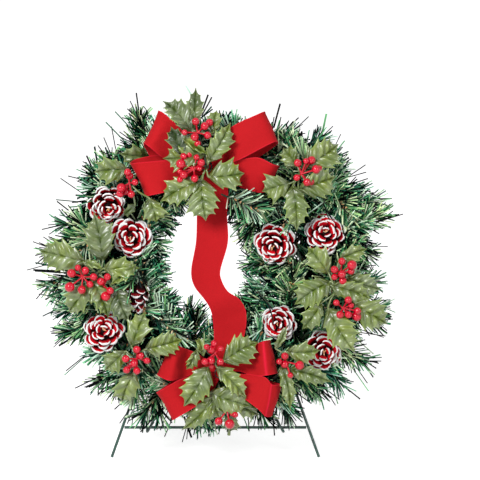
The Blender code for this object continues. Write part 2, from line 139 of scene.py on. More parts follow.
def end_fans(rows, columns):
    """Triangles from a tube's two end rows to two middle points that follow its vertices."""
    j = np.arange(columns)
    k = (j + 1) % columns
    n = rows * columns
    low = np.stack((k, j, np.full(columns, n)), -1)
    high = np.stack((n - columns + j, n - columns + k, np.full(columns, n + 1)), -1)
    return np.concatenate((low, high))


def grid_normals(grid):
    along = np.gradient(grid, axis=0)
    across = np.gradient(grid, axis=1)
    return unit(np.cross(across, along))


def add_sheet(solid, grid, thick, look, back_look=None):
    """A closed sheet: the grid of points (rows, columns, 3) and a copy of it thick mm behind."""
    rows, columns = grid.shape[:2]
    half = grid_normals(grid) * np.broadcast_to(thick, (rows, columns))[..., None] / 2
    quads = grid_quads(rows, columns)
    number = np.arange(rows * columns).reshape(rows, columns)
    rim = np.concatenate((number[0], number[1:, -1], number[-1, -2::-1], number[-2:0:-1, 0]))
    after = np.roll(rim, -1)
    back = rows * columns
    sides = np.stack((after, rim, rim + back, after + back), -1)
    solid.add(
        np.stack((grid + half, grid - half)),
        np.concatenate((quads, quads[:, ::-1] + back, sides)),
        look=np.stack((look, look if back_look is None else back_look)).reshape(-1, 4),
    )


def frames_along(path):
    """Unit tangents and two sideways directions along a path of points, without twist."""
    tangents = unit(np.gradient(path, axis=0))
    side = np.cross(tangents[0], (0.3, 0.2, 1.0))
    sides = []
    for tangent in tangents:
        side = unit(side - tangent * np.dot(side, tangent))
        sides.append(side)
    sides = np.array(sides)
    return tangents, sides, np.cross(tangents, sides)


def add_wire(solid, path, radius, sides=10, mat=0, look=(0, 0, 0, 0), closed=False):
    """A round tube along a path, with flat ends unless the path is closed. radius may be a list."""
    path = np.asarray(path, float)
    rows = len(path)
    if closed:
        tangents = unit(np.roll(path, -1, 0) - np.roll(path, 1, 0))
        first = unit(np.cross(tangents, (0, 0, 1.0)))
        second = np.cross(tangents, first)
    else:
        _, first, second = frames_along(path)
    radius = np.broadcast_to(np.asarray(radius, float), (rows,))[:, None, None]
    angle = (np.arange(sides) * TAU / sides)[None, :, None]
    verts = path[:, None] + (first[:, None] * np.cos(angle) + second[:, None] * np.sin(angle)) * radius
    if closed:
        quads = grid_quads(rows + 1, sides, closed=True) % (rows * sides)
        solid.add(verts, quads, mat=mat, look=look)
    else:
        verts = np.concatenate((verts.reshape(-1, 3), path[[0, -1]]))
        solid.add(verts, grid_quads(rows, sides, closed=True), end_fans(rows, sides), mat, look)


def add_ball(
    solid, centre, radii, axis=(0, 0, 1), rows=11, columns=16, mat=0, look=(0, 0, 0, 1), top_look=None
):
    """A closed ball: radii are across and along the axis. Its top can have a look of its own."""
    axis = unit(axis)
    first = unit(np.cross(axis, (0.31, 0.87, 0.2)))
    second = np.cross(axis, first)
    polar_angle = np.linspace(0, math.pi, rows + 2)[1:-1, None, None]
    turn = np.arange(columns)[:, None] * TAU / columns
    ring = first * np.cos(turn) + second * np.sin(turn)
    verts = centre + ring * np.sin(polar_angle) * radii[0] - axis * np.cos(polar_angle) * radii[1]
    poles = (centre - axis * radii[1], centre + axis * radii[1])
    looks = np.tile(np.array(look, float), (rows * columns + 2, 1))
    looks[-1] = look if top_look is None else top_look
    verts = np.concatenate((verts.reshape(-1, 3), poles))
    solid.add(verts, grid_quads(rows, columns, closed=True), end_fans(rows, columns), mat, looks)


def smooth_path(points, count):
    """A smooth curve of count points through three or more given points (Catmull-Rom)."""
    points = np.asarray(points, float)
    padded = np.concatenate(([2 * points[0] - points[1]], points, [2 * points[-1] - points[-2]]))
    at = np.linspace(0, len(points) - 1, count)
    i = np.minimum(at.astype(int), len(points) - 2)
    x = (at - i).reshape((-1,) + (1,) * (points.ndim - 1))
    a, b, c, d = padded[i], padded[i + 1], padded[i + 2], padded[i + 3]
    curve = 2 * b + (c - a) * x + (2 * a - 5 * b + 4 * c - d) * x**2
    return 0.5 * (curve + (3 * b - a - 3 * c + d) * x**3)


def coil(u, v, radius, turns, levels):
    """Points of a spiral round the line over (u, v), from the turn in radians and the level of each."""
    return np.stack((u + radius * np.cos(turns), v + radius * np.sin(turns), levels), -1)


# ---- material helpers ----
BLACK, WHITE = (0.0, 0.0, 0.0, 1.0), (1.0, 1.0, 1.0, 1.0)


def srgb(*colour):
    """An sRGB colour of 0 to 255 as linear values."""
    shares = [c / 255 for c in colour]
    return (*(c / 12.92 if c <= 0.04045 else ((c + 0.055) / 1.055) ** 2.4 for c in shares), 1.0)


class Nodes:
    """Short calls that add nodes to a tree. They take sockets or values, and most give the new output."""

    def __init__(self, tree):
        self.tree = tree

    def put(self, value, socket):
        if isinstance(value, bpy.types.NodeSocket):
            self.tree.links.new(value, socket)
        else:
            socket.default_value = value

    def make(self, kind, **inputs):
        node = self.tree.nodes.new(f"ShaderNode{kind}")
        for name, value in inputs.items():
            self.put(value, node.inputs[name])
        return node

    def ramp(self, fac, *stops):
        node = self.make("ValToRGB", Fac=fac)
        elements = node.color_ramp.elements
        while len(elements) < len(stops):
            elements.new(0.5)
        for element, (place, colour) in zip(elements, stops):
            element.position = place
            element.color = colour
        return node.outputs["Color"]

    def rise(self, value, low, high):
        """Black up to low, and white from high on."""
        return self.ramp(value, (low, BLACK), (high, WHITE))

    def maths(self, operation, *values):
        node = self.make("Math")
        node.operation = operation
        for value, socket in zip(values, node.inputs):
            self.put(value, socket)
        return node.outputs[0]

    def swing(self, noise, reach):
        """The noise as a value around zero."""
        return self.maths("MULTIPLY", self.maths("SUBTRACT", noise, 0.5), reach)

    def mix(self, fac, a, b, blend="MIX"):
        """A mix of two colours. The sockets of a Mix node are found by their type."""
        node = self.make("Mix")
        node.data_type = "RGBA"
        node.blend_type = blend
        factor = next(socket for socket in node.inputs if socket.type == "VALUE")
        colours = [socket for socket in node.inputs if socket.type == "RGBA"]
        for value, socket in zip((fac, a, b), (factor, *colours)):
            self.put(value, socket)
        return next(socket for socket in node.outputs if socket.type == "RGBA")

    def toned(self, colour, by):
        return self.mix(1.0, colour, by, "MULTIPLY")

    def turned(self, colour, other, where, share):
        """The colour, turned by this share towards another where the value is 1."""
        return self.mix(self.maths("MULTIPLY", where, share), colour, other)

    def looks(self):
        """The mesh's look attribute as separate values: red, green, blue, alpha."""
        attribute = self.make("Attribute")
        attribute.attribute_name = "look"
        split = self.make("SeparateColor", Color=attribute.outputs["Color"])
        return (*split.outputs[:3], attribute.outputs["Alpha"])

    def grey(self, value):
        return self.make("CombineColor", Red=value, Green=value, Blue=value).outputs[0]

    def noise(self, scale, detail=3.0, roughness=0.5):
        """Noise fixed to the object's own place, in the object's metres."""
        place = self.make("TexCoord").outputs["Object"]
        node = self.make("TexNoise", Scale=scale, Detail=detail, Roughness=roughness, Vector=place)
        return node.outputs["Fac"]

    def bump(self, height, strength, distance):
        return self.make("Bump", Strength=strength, Distance=distance, Height=height).outputs["Normal"]


def make_material(name, sockets):
    """A new material. sockets(nodes) makes its nodes and says what goes into the shader, by socket."""
    material = bpy.data.materials.new(name)
    material.use_nodes = True
    nodes = Nodes(material.node_tree)
    shader = material.node_tree.nodes["Principled BSDF"]
    for socket, value in sockets(nodes).items():
        nodes.put(value, shader.inputs[socket])
    return material


# ---- materials ----
def needle_sockets(nodes):
    along, tint, hue, _ = nodes.looks()
    colour = nodes.ramp(
        tint,
        (0.0, srgb(0, 5, 5)), (0.17, srgb(3, 36, 33)), (0.32, srgb(36, 106, 86)),
        (0.5, srgb(90, 172, 120)), (0.7, srgb(158, 214, 154)), (0.9, srgb(234, 250, 224)),
    )
    hues = nodes.ramp(
        hue, (0.0, (0.74, 1.0, 1.1, 1)), (0.5, (1.0, 1.0, 0.97, 1)), (1.0, (1.12, 1.02, 0.7, 1)),
    )
    # painted shade: each needle darker towards the twig, deep inside the sprig
    painted_root_shade = nodes.grey(nodes.maths("MULTIPLY_ADD", along, 0.9, 0.3))
    colour = nodes.toned(nodes.toned(colour, hues), painted_root_shade)
    mottled = nodes.maths("MULTIPLY", nodes.noise(420.0, 2.0), 0.5)
    return {
        "Base Color": nodes.mix(mottled, colour, (0.6, 0.82, 0.74, 1), "MULTIPLY"),
        "Roughness": 0.36,
        "Specular IOR Level": 0.07,
        "Normal": nodes.bump(nodes.noise(1500.0, 2.0), 0.2, 0.0002),
    }


def twig_sockets(nodes):
    return {
        "Base Color": nodes.ramp(nodes.noise(300.0), (0.35, srgb(16, 40, 30)), (0.65, srgb(52, 62, 38))),
        "Roughness": 0.6,
        "Normal": nodes.bump(nodes.noise(900.0), 0.4, 0.0003),
    }


def bud_sockets(nodes):
    _, tint, _, _ = nodes.looks()
    colour = nodes.ramp(
        tint, (0.0, srgb(232, 158, 100)), (0.5, srgb(248, 192, 134)), (1.0, srgb(255, 228, 186)),
    )
    colour = nodes.turned(colour, srgb(186, 104, 60), nodes.noise(700.0), 0.2)
    return {"Base Color": colour, "Roughness": 0.6}


def leaf_sockets(nodes):
    along, edge, vein_and_groove_shade, painted_leaf_shade = nodes.looks()
    colour = nodes.ramp(
        nodes.noise(55.0, 2.0),
        (0.3, srgb(80, 102, 26)), (0.5, srgb(104, 124, 36)), (0.7, srgb(128, 144, 50)),
    )
    # painted shade: whole leaves darkened where they lie in shade
    colour = nodes.mix(painted_leaf_shade, colour, srgb(34, 58, 14))
    # painted sheen: pale patches standing in for the glossy leaf's highlights
    painted_sheen = nodes.rise(nodes.noise(80.0, 3.0), 0.44, 0.66)
    colour = nodes.turned(colour, srgb(168, 182, 138), painted_sheen, 0.4)
    # the midrib's own darker line, and painted shade in the grooves between the raised cells
    colour = nodes.turned(colour, srgb(40, 56, 8), vein_and_groove_shade, 0.65)
    colour = nodes.turned(colour, srgb(156, 182, 84), nodes.rise(edge, 0.86, 0.98), 0.45)
    # painted shade: each leaf darker towards its base, at the hub
    painted_root_shade = nodes.ramp(along, (0.0, (0.45, 0.45, 0.45, 1)), (0.25, WHITE))
    return {
        "Base Color": nodes.toned(colour, painted_root_shade),
        "Roughness": 0.5,
        "Specular IOR Level": 0.2,
        "Coat Weight": 1.0,
        "Coat Roughness": 0.3,
        "Coat IOR": 1.6,
        "Normal": nodes.bump(nodes.noise(200.0, 2.0), 0.16, 0.0004),
    }


def berry_sockets(nodes):
    _, top, _, tint = nodes.looks()
    colour = nodes.ramp(nodes.noise(240.0, 2.0), (0.3, srgb(194, 0, 34)), (0.7, srgb(220, 0, 48)))
    colour = nodes.turned(colour, srgb(170, 0, 20), tint, 0.3)
    return {
        "Base Color": nodes.mix(top, colour, srgb(90, 12, 20)),
        "Roughness": 0.3,
        "Specular IOR Level": 0.05,
        "Coat Weight": 0.85,
        "Coat Roughness": 0.08,
    }


def berry_stem_sockets(nodes):
    colour = nodes.ramp(nodes.noise(500.0), (0.3, srgb(172, 10, 32)), (0.7, srgb(212, 20, 46)))
    return {"Base Color": colour, "Roughness": 0.35}


def cone_sockets(nodes):
    rim, painted_depth_shade, _, _ = nodes.looks()
    grain = nodes.noise(380.0, 4.0, 0.65)
    # painted shade: the red falls to black with the depth channel, towards each scale's root and under the
    # scale above
    red = nodes.ramp(
        nodes.maths("ADD", painted_depth_shade, nodes.swing(grain, 0.5)),
        (0.0, srgb(8, 1, 2)), (0.2, srgb(72, 4, 9)), (0.5, srgb(152, 9, 20)), (1.0, srgb(216, 20, 34)),
    )
    ragged = nodes.maths("ADD", rim, nodes.swing(nodes.noise(260.0, 3.0), 0.7))
    paint = nodes.ramp(nodes.noise(500.0), (0.3, srgb(246, 243, 242)), (0.5, srgb(255, 254, 254)))
    return {
        "Base Color": nodes.mix(nodes.rise(ragged, 0.48, 0.55), red, paint),
        "Roughness": 0.5,
        "Specular IOR Level": 0.08,
        "Normal": nodes.bump(grain, 0.4, 0.0005),
    }


def velvet_sockets(nodes):
    across, crease_and_highlight, _, _ = nodes.looks()
    pile = nodes.noise(2600.0, 2.0)
    colour = nodes.ramp(pile, (0.3, srgb(170, 8, 17)), (0.7, srgb(196, 15, 25)))
    colour = nodes.turned(colour, srgb(150, 6, 15), nodes.noise(60.0, 2.0), 0.25)
    # lighter pink along the wired edges: the edge's own tone and a painted highlight
    colour = nodes.turned(colour, srgb(224, 24, 50), nodes.rise(across, 0.93, 0.985), 0.6)
    return {
        # painted highlight: the pressed creases lighter pink
        "Base Color": nodes.turned(colour, srgb(232, 22, 60), crease_and_highlight, 0.7),
        "Roughness": 0.85,
        "Specular IOR Level": 0.25,
        "Sheen Weight": 0.2,
        "Sheen Roughness": 0.4,
        "Sheen Tint": (1.0, 0.3, 0.3, 1.0),
        "Normal": nodes.bump(pile, 0.5, 0.0003),
    }


def wire_sockets(nodes):
    colour = nodes.ramp(nodes.noise(160.0, 3.0), (0.3, srgb(6, 46, 38)), (0.7, srgb(12, 70, 56)))
    worn = nodes.rise(nodes.noise(500.0, 4.0), 0.66, 0.78)
    return {
        "Base Color": nodes.turned(colour, srgb(40, 92, 74), worn, 0.35),
        "Roughness": 0.35,
        "Coat Weight": 0.3,
        "Normal": nodes.bump(nodes.noise(700.0), 0.15, 0.0003),
    }


MATERIALS = {
    "needle": make_material("pine_needles", needle_sockets),
    "twig": make_material("twig_wire", twig_sockets),
    "bud": make_material("tan_tips", bud_sockets),
    "leaf": make_material("holly_leaf", leaf_sockets),
    "berry": make_material("berry_lacquer", berry_sockets),
    "berry_stem": make_material("berry_stem", berry_stem_sockets),
    "cone": make_material("painted_cone", cone_sockets),
    "velvet": make_material("velvet_ribbon", velvet_sockets),
    "wire": make_material("green_coated_wire", wire_sockets),
}


def stand_for(piece, slot, *nodes):
    """The piece rides on the wreath and hides the CAD nodes it stands for. slot is not used."""
    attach(piece, "root")
    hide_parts(*nodes)


# ---- the trims' places, shared by the pieces below ----
CONES = {  # centre (u, v), radius, how far the tip leans (u, v), how uneven its scales are
    1: ((-121.5, 66.5), 25.5, (3, -13), 2.0),
    2: ((-94, 29.5), 26.3, (-2, -4), 1.8),
    4: ((-125.5, -78), 25.5, (1, 6), 1.2),
    5: ((64, 22), 25.5, (-6, -9), 1.0),
    6: ((117, 28.5), 25, (1, 7), 1.0),
    7: ((68, -65), 23, (-5, -4), 1.4),
    8: ((112.5, -96), 25, (5, -4), 1.0),
}
SIDE_CONE = ((-88, -38), 14, 38)  # cone 3: centre, radius and length
CONE_BASE_W, SIDE_CONE_BASE_W = 27.5, 27
CONE_HEIGHT = 28

# each loop from the tie, over the front, round its end and back behind: pairs of points on its two edges
LOOPS = {
    "top_loop_upper_left": (
        ((-10, 112, 54), (-16, 105, 52)), ((-24, 129, 58), (-38, 109, 49)),
        ((-41, 146, 62), (-58, 113, 50)), ((-56, 160, 64), (-74, 125, 59)),
        ((-64, 165, 54), (-81, 130, 50)), ((-59, 158, 42), (-78, 122, 40)),
        ((-42, 140, 36), (-67, 112, 35)), ((-14, 113, 38), (-18, 104, 37)),
    ),
    "top_loop_lower_left": (
        ((-17, 107, 54), (-16, 97, 52)), ((-34, 110, 56), (-38, 87, 52)), ((-56, 111, 60), (-56, 77, 60)),
        ((-86, 108.5, 62), (-72, 73, 62)), ((-95, 108, 52), (-79, 72, 52)),
        ((-88, 113, 41), (-76, 79, 41)), ((-58, 117, 36), (-57, 84, 36)), ((-18, 107, 38), (-16, 99, 37)),
    ),
    "top_loop_upper_right": (
        ((-8, 111, 54), (-6, 104, 52)), ((2, 133, 52), (6, 108, 48)), ((16, 148, 60), (22, 111, 58)),
        ((43, 161, 62), (57, 129, 61)), ((51, 164, 52), (65, 131, 51)), ((47, 159, 40), (60, 125, 39)),
        ((22, 144, 35), (36, 111, 34)), ((-6, 110, 38), (-6, 103, 37)),
    ),
    "top_loop_lower_right": (
        ((-6, 104, 51), (-8, 98, 49)), ((8, 108, 52), (2, 92, 47)), ((26, 112, 55), (15, 86, 46)),
        ((44, 114, 59), (33, 79, 48)), ((60, 107, 60), (45, 76, 50)), ((67, 105, 50), (52, 77, 44)),
        ((60, 105, 39), (46, 79, 38)), ((38, 107, 33), (28, 84, 33)), ((-5, 103, 37), (-8, 99, 36)),
    ),
    "bottom_loop_upper_left": (
        ((-2, -114, 54), (-4, -121, 52)), ((-18, -102, 56), (-22, -122, 50)),
        ((-31, -96, 51), (-36, -125, 46)), ((-43, -91, 62), (-52, -129, 60)),
        ((-52, -87, 52), (-66, -123, 50)), ((-46, -90, 40), (-60, -122, 38)),
        ((-26, -100, 35), (-34, -124, 35)), ((-2, -115, 38), (-3, -120, 37)),
    ),
    "bottom_loop_lower_left": (
        ((-4, -121, 54), (2, -126, 53)), ((-22, -123, 56), (-6, -141, 54)),
        ((-40, -127, 60), (-21, -155, 59)), ((-60, -138, 62), (-42, -168, 62)),
        ((-67, -142, 52), (-49, -172, 52)), ((-58, -136, 40), (-42, -165, 40)),
        ((-38, -124, 34), (-22, -149, 34)), ((-4, -121, 38), (2, -126, 38)),
    ),
    "bottom_loop_upper_right": (
        ((5, -114, 54), (7, -121, 53)), ((20, -99, 53), (22, -119, 50)), ((38, -91, 54), (40, -124, 54)),
        ((50, -86, 63), (54, -123, 63)), ((56, -85, 52), (65, -121, 52)), ((50, -88, 40), (58, -122, 40)),
        ((28, -97, 34), (30, -120, 34)), ((5, -115, 38), (7, -120, 37)),
    ),
    "bottom_loop_lower_right": (
        ((7, -121, 53), (3, -127, 52)), ((30, -122, 53), (17, -140, 54)),
        ((51, -125, 62), (44, -160, 61)), ((59, -133, 62), (52, -168, 60)),
        ((69, -133, 51), (59, -167, 50)), ((60, -131, 40), (51, -161, 40)),
        ((34, -124, 34), (24, -144, 34)), ((6, -121, 38), (4, -126, 37)),
    ),
}
STREAMER = (
    ((-15, 99, 47), (-6, 99, 47)), ((-20, 89, 43), (8, 89, 42)), ((-22.5, 72, 40), (11.5, 72, 39)),
    ((-23, 51, 38), (10, 53, 37)), ((-24, 22, 35), (11, 22, 35)), ((-29, -8, 38), (3, -8, 33)),
    ((-26, -25, 44), (4, -20, 37)), ((-15, -40, 46), (11, -32, 42)), ((-8, -52, 43), (24, -41, 42)),
    ((-5, -67, 38), (31, -56, 39)), ((-4, -86, 38), (29, -80, 38)), ((-2, -101, 43), (20, -98, 43)),
    ((0, -113.5, 46), (8, -113.5, 46)),
)


# ---- pine ----
# how far the pine reaches, and where the centre hole's edge is, by angle anticlockwise from the right
REACH = (
    (0, 163), (8, 193), (16, 204), (28, 190), (40, 185), (50, 191), (60, 178), (70, 168), (75, 160),
    (80, 163), (86, 164), (92, 159), (98, 157), (108, 161), (112, 176), (116, 194), (119, 200),
    (130, 189), (140, 177), (150, 190), (158, 182), (170, 200), (180, 204), (192, 198), (200, 190),
    (208, 200), (215, 205), (224, 202), (232, 199), (240, 206), (250, 196), (262, 192), (272, 189),
    (285, 191), (293, 196), (302, 185), (312, 206), (322, 214), (330, 200), (340, 202), (350, 192),
    (360, 163),
)
HOLE = (
    (0, 28), (25, 32), (40, 33), (55, 34), (66, 42), (78, 54), (90, 60), (125, 70), (140, 58), (154, 52),
    (180, 56), (198, 58), (213, 62), (227, 56), (241, 51), (262, 54), (285, 50), (305, 45), (320, 40),
    (335, 32), (360, 28),
)


def by_angle(table, degrees):
    places, values = zip(*table)
    return np.interp(np.mod(degrees, 360), places, values)


LAYERS = (
    # sprigs, base radius, share of the way to the edge (inwards if negative), base level, tip level,
    # sideways swing in degrees, needles on each, their tint, and their width
    (42, 118, 0.86, -8, 2, 9, 136, -0.06, 1.0),
    (38, 112, 0.74, 2, 22, 14, 140, 0.17, 1.0),
    (34, 132, 0.40, 4, 32, 26, 130, 0.22, 1.0),
    (38, 112, -0.72, -4, 10, 8, 130, -0.04, 1.0),
    (26, 96, -0.30, 4, 30, 24, 124, 0.2, 1.0),
    # the three layers behind: dark needles whose low tints are painted shade
    (46, 148, 0.10, -6, 8, 34, 100, -0.56, 1.3),
    (38, 100, 0.12, -8, 6, 34, 100, -0.56, 1.3),
    (56, 128, 0.16, -13, -9, 46, 96, -0.64, 1.9),
)

OUTER_LAYER, INNER_LAYER = 0, 3  # these make the outline and the hole's edge
BARE_LAYER = 5  # the layers from here on carry no tan tips
EDGE_MARGIN, HOLE_MARGIN = 17, 14  # how far a twig's end stays inside the pine's edges, for its needles
TWIG_POINTS = 14
TWIG_R, OVER_TWIG_R = (1.3, 0.8), (1.1, 0.6)  # radii at both ends, in the layers and over other trims


def make_sprigs(rng):
    """Twigs in layers: outward behind and in front, inward, over the front, and ones behind painted dark as
    shade.
    """
    sprigs = []
    for layer, (count, base_r, share, base_w, tip_w, swing, *_) in enumerate(LAYERS):
        for k in range(count):
            angle = 360 * (k + 0.5 * (layer % 2)) / count + rng.uniform(-3.5, 3.5)
            turn = rng.uniform(-swing, swing)
            tip_angle = angle + turn
            outward = by_angle(REACH, tip_angle) - EDGE_MARGIN
            edge = outward if share > 0 else by_angle(HOLE, tip_angle) + HOLE_MARGIN
            loose = 2 if layer >= BARE_LAYER else 1
            tip_r = base_r + (edge - base_r) * abs(share) + rng.uniform(-6, 6) * loose
            if layer == OUTER_LAYER:
                tip_r = edge + rng.uniform(-5, 3)
            if layer == INNER_LAYER:
                tip_r = edge + rng.uniform(-2, 6)
            base = polar(base_r + rng.uniform(-8, 8), angle - turn * 0.8, base_w + rng.uniform(-3, 3))
            tip = polar(tip_r, tip_angle, tip_w + rng.uniform(-5, 5))
            middle = (base + tip) / 2 + rng.uniform(-5, 5, 3)
            middle[2] += rng.uniform(2, 8)
            sprigs.append((angle, smooth_path((base, middle, tip), TWIG_POINTS), layer))
    return sprigs


# pockets between the trims that show only the pine behind, dark with its painted shade: centre (u, v),
# radius
POCKETS = (
    (88, 23, 8), (90, 10, 9), (93, -76, 9), (-101, -89, 7), (-91, 62, 8), (-72, -66, 7), (-20, -84, 8),
)
# levels that needles keep under there
POCKET_FLOOR, CONE_FLOOR, LOOP_FLOOR, STREAMER_FLOOR = 12, 29, 30, 32
PINE_LOW, PINE_HIGH = -20, 46  # the layers' needles stay between these levels


def blocked(points):
    """True for points inside a cone or a pocket of painted shade, or in the way of a ribbon."""
    u, v, w = points[..., 0], points[..., 1], points[..., 2]
    hit = (w > PINE_HIGH) | (w < PINE_LOW)
    for (cu, cv), radius, _, _ in CONES.values():
        hit |= (np.hypot(u - cu, v - cv) < radius * 0.8) & (w > CONE_FLOOR)
    (su, sv), radius, length = SIDE_CONE
    hit |= (np.abs(u - su) < radius * 0.8) & (np.abs(v - sv) < length * 0.5) & (w > CONE_FLOOR + 1)
    for pu, pv, radius in POCKETS:
        hit |= (np.hypot(u - pu, v - pv) < radius) & (w > POCKET_FLOOR)
    for sections in LOOPS.values():
        hit |= inside(sections, u, v) & (w > LOOP_FLOOR)
    return hit | inside(STREAMER, u, v) & (w > STREAMER_FLOOR)


def inside(sections, u, v):
    """True where (u, v) is behind a ribbon, seen from the front."""
    found = np.zeros(np.shape(u), bool)
    for (a, b), (c, d) in zip(sections, sections[1:]):
        odd = np.zeros(np.shape(u), bool)
        corners = (a, b, d, c)
        for p, q in zip(corners, corners[1:] + corners[:1]):
            crosses = (p[1] > v) != (q[1] > v)
            run = (q[0] - p[0]) * (v - p[1]) / (q[1] - p[1] + 1e-9) + p[0]
            odd ^= crosses & (u < run)
        found |= odd
    return found


NEEDLE_LENGTH = 26
NEEDLE_WIDTH = 1.6
NEEDLE_THICK = 0.9
NEEDLE_BEND = 4
NEEDLE_LEAN, LEAN_DROP = 58, 28  # degrees from the twig at its root, and how much less at its tip
TINT_SPREAD = 0.44
DARK_SHARE, DARK_DROP = 0.36, 0.5  # this share of the needles is darker by so much


def add_needles(solid, rng, path, count, branch_tint, width=1.0, stations=3, over=False):
    """Needles all round a twig, leaning towards its tip. Over other trims (over=True) all of them stay."""
    tangents, first, second = frames_along(path)
    at = np.sort(rng.uniform(0.12, 1.0, count))
    where = at * (len(path) - 1)
    i = np.minimum(where.astype(int), len(path) - 2)
    x = (where - i)[:, None]
    root = path[i] * (1 - x) + path[i + 1] * x
    round_angle = rng.uniform(0, TAU, count)[:, None]
    lean = np.radians(NEEDLE_LEAN - LEAN_DROP * at + rng.normal(0, 9, count))[:, None]
    out = first[i] * np.cos(round_angle) + second[i] * np.sin(round_angle)
    tangent = tangents[i]
    direction = unit(tangent * np.cos(lean) + out * np.sin(lean))
    length = (NEEDLE_LENGTH * (1.06 - 0.22 * at) * rng.uniform(0.82, 1.12, count))[:, None]
    towards_tip = unit(tangent - direction * (tangent * direction).sum(1, keepdims=True))
    bend = towards_tip * rng.normal(0.2, 0.5, count)[:, None]
    s = np.linspace(0, 1, stations)[None, :, None]
    straight = root[:, None] + direction[:, None] * length[:, None] * s
    centre = straight + bend[:, None] * NEEDLE_BEND * s * (1 - s)
    if not over:
        points = np.concatenate((centre[:, 1:], centre[:, -2:].mean(1, keepdims=True)), 1)
        centre = centre[~blocked(points).any(1)]
    if len(centre):
        add_blades(solid, rng, centre, branch_tint, width)


def add_blades(solid, rng, centre, branch_tint, width):
    """One blunt three-sided needle along each centre line (needles, stations, 3)."""
    n, stations = centre.shape[:2]
    direction = unit(centre[:, -1] - centre[:, 0])
    wide = unit(np.cross(direction, rng.normal(0, 1, (n, 3))))
    deep = np.cross(direction, wide)
    half = NEEDLE_WIDTH * width / 2 * rng.uniform(0.8, 1.12, n)[:, None, None]
    taper = np.array((0.8, 1.0, 0.8) if stations == 3 else (0.9, 0.9))[None, :, None]
    a, b = wide[:, None] * half * taper, deep[:, None] * (NEEDLE_THICK / 2)
    ring = np.stack((centre + a - b, centre + b, centre - a - b), 2)
    last = stations * 3 - 3
    ends = np.array(((2, 1, 0), (last, last + 1, last + 2)))
    offsets = (np.arange(n) * stations * 3)[:, None, None]
    tint = branch_tint + rng.normal(0, TINT_SPREAD, n) - DARK_DROP * (rng.random(n) < DARK_SHARE)
    look = np.ones((n, stations, 3, 4))
    look[..., 0] = np.linspace(0, 1, stations)[None, :, None]
    # painted light and shade: each needle lighter along its middle ridge and darker at its two edges
    look[..., 1] = np.clip(tint[:, None, None] + np.array((-0.1, 0.12, -0.1)), 0, 1)
    look[..., 2] = np.clip(rng.uniform(0.1, 0.9) + rng.normal(0, 0.12, n), 0, 1)[:, None, None]
    quads = grid_quads(stations, 3, closed=True)
    solid.add(ring, quads + offsets, ends + offsets, look=look.reshape(-1, 4))


def add_buds(solid, rng, path):
    """Tan chips of the sprig's centre, in small groups along the outer half of the twig."""
    tangents, first, second = frames_along(path)
    for at in np.arange(0.42, 1.01, 0.145):
        i = min(int(at * (len(path) - 1)), len(path) - 1)
        for _ in range(rng.integers(1, 4)):
            turn = rng.uniform(0, TAU)
            out = first[i] * math.cos(turn) + second[i] * math.sin(turn)
            start = path[i] + tangents[i] * rng.uniform(-2.5, 2.5)
            way = unit(out + tangents[i] * rng.uniform(0.2, 1.2))
            line = np.stack((start, start + way * 2.2, start + way * rng.uniform(3.4, 4.8)))
            add_wire(solid, line, (0.7, 0.9, 0.5), 5, mat=2, look=(0, rng.uniform(0, 1), 0, 1))


# sprigs that lie over other trims: base, tip, needles, tint
OVER_SPRIGS = (
    ((4, 74, 44), (44, 57, 64), 80, 0.74),
    ((-84, -4, 40), (-96, -25, 58), 20, 0.66),
    ((44, -32, 40), (56, -46, 60), 9, 0.6),
    ((118, 74, 40), (114, 60, 58), 7, 0.4),
    ((82, 56, 36), (80, 42, 58), 6, 0.6),
)
BARE_SPRIG = 40  # a sprig over other trims with no more needles than this has no tan tips
# long single needles past the edge of the pine: root and tip (u, v)
STRAYS = (
    ((-182, -5), (-201, -1)), ((-183, -9.5), (-203, -8.5)), ((-177, -36), (-190, -40.5)),
    ((-175, -36), (-184, -59)), ((-160, -83), (-175, -92)), ((-130, -124), (-131.5, -147)),
    ((-86, 161), (-89.5, 186)), ((-26, 178), (-35.5, 194)), ((64, 157), (68.5, 174)),
    ((116, 149), (119, 163)), ((157, 83), (182, 67)), ((182, 47), (199, 52.5)),
    ((-134, 94), (-144.5, 117)), ((-133, 112), (-135.5, 127)), ((-114, 133), (-117, 149)),
    ((-34, -179), (-29, -193)), ((127, -140), (132, -156)), ((172, -58), (190, -62)),
    ((-16, 160), (-5.6, 167.7)), ((-15, 162), (-7, 171)), ((-13, 169), (-6.5, 181)),
    ((-15, 173), (-11, 184)),
)
STRAY_LEVEL, STRAY_TINT, STRAY_WIDTH = 6, 0.05, 1.5
STRAY_ROOT = 10  # how much further into the pine they start
EDGE_STRAYS = 96  # thinner ones in no set place, all round the edge
EDGE_STRAY_ROOT, EDGE_STRAY_WIDTH = 40, 1.0  # how far inside the edge they start, and their width


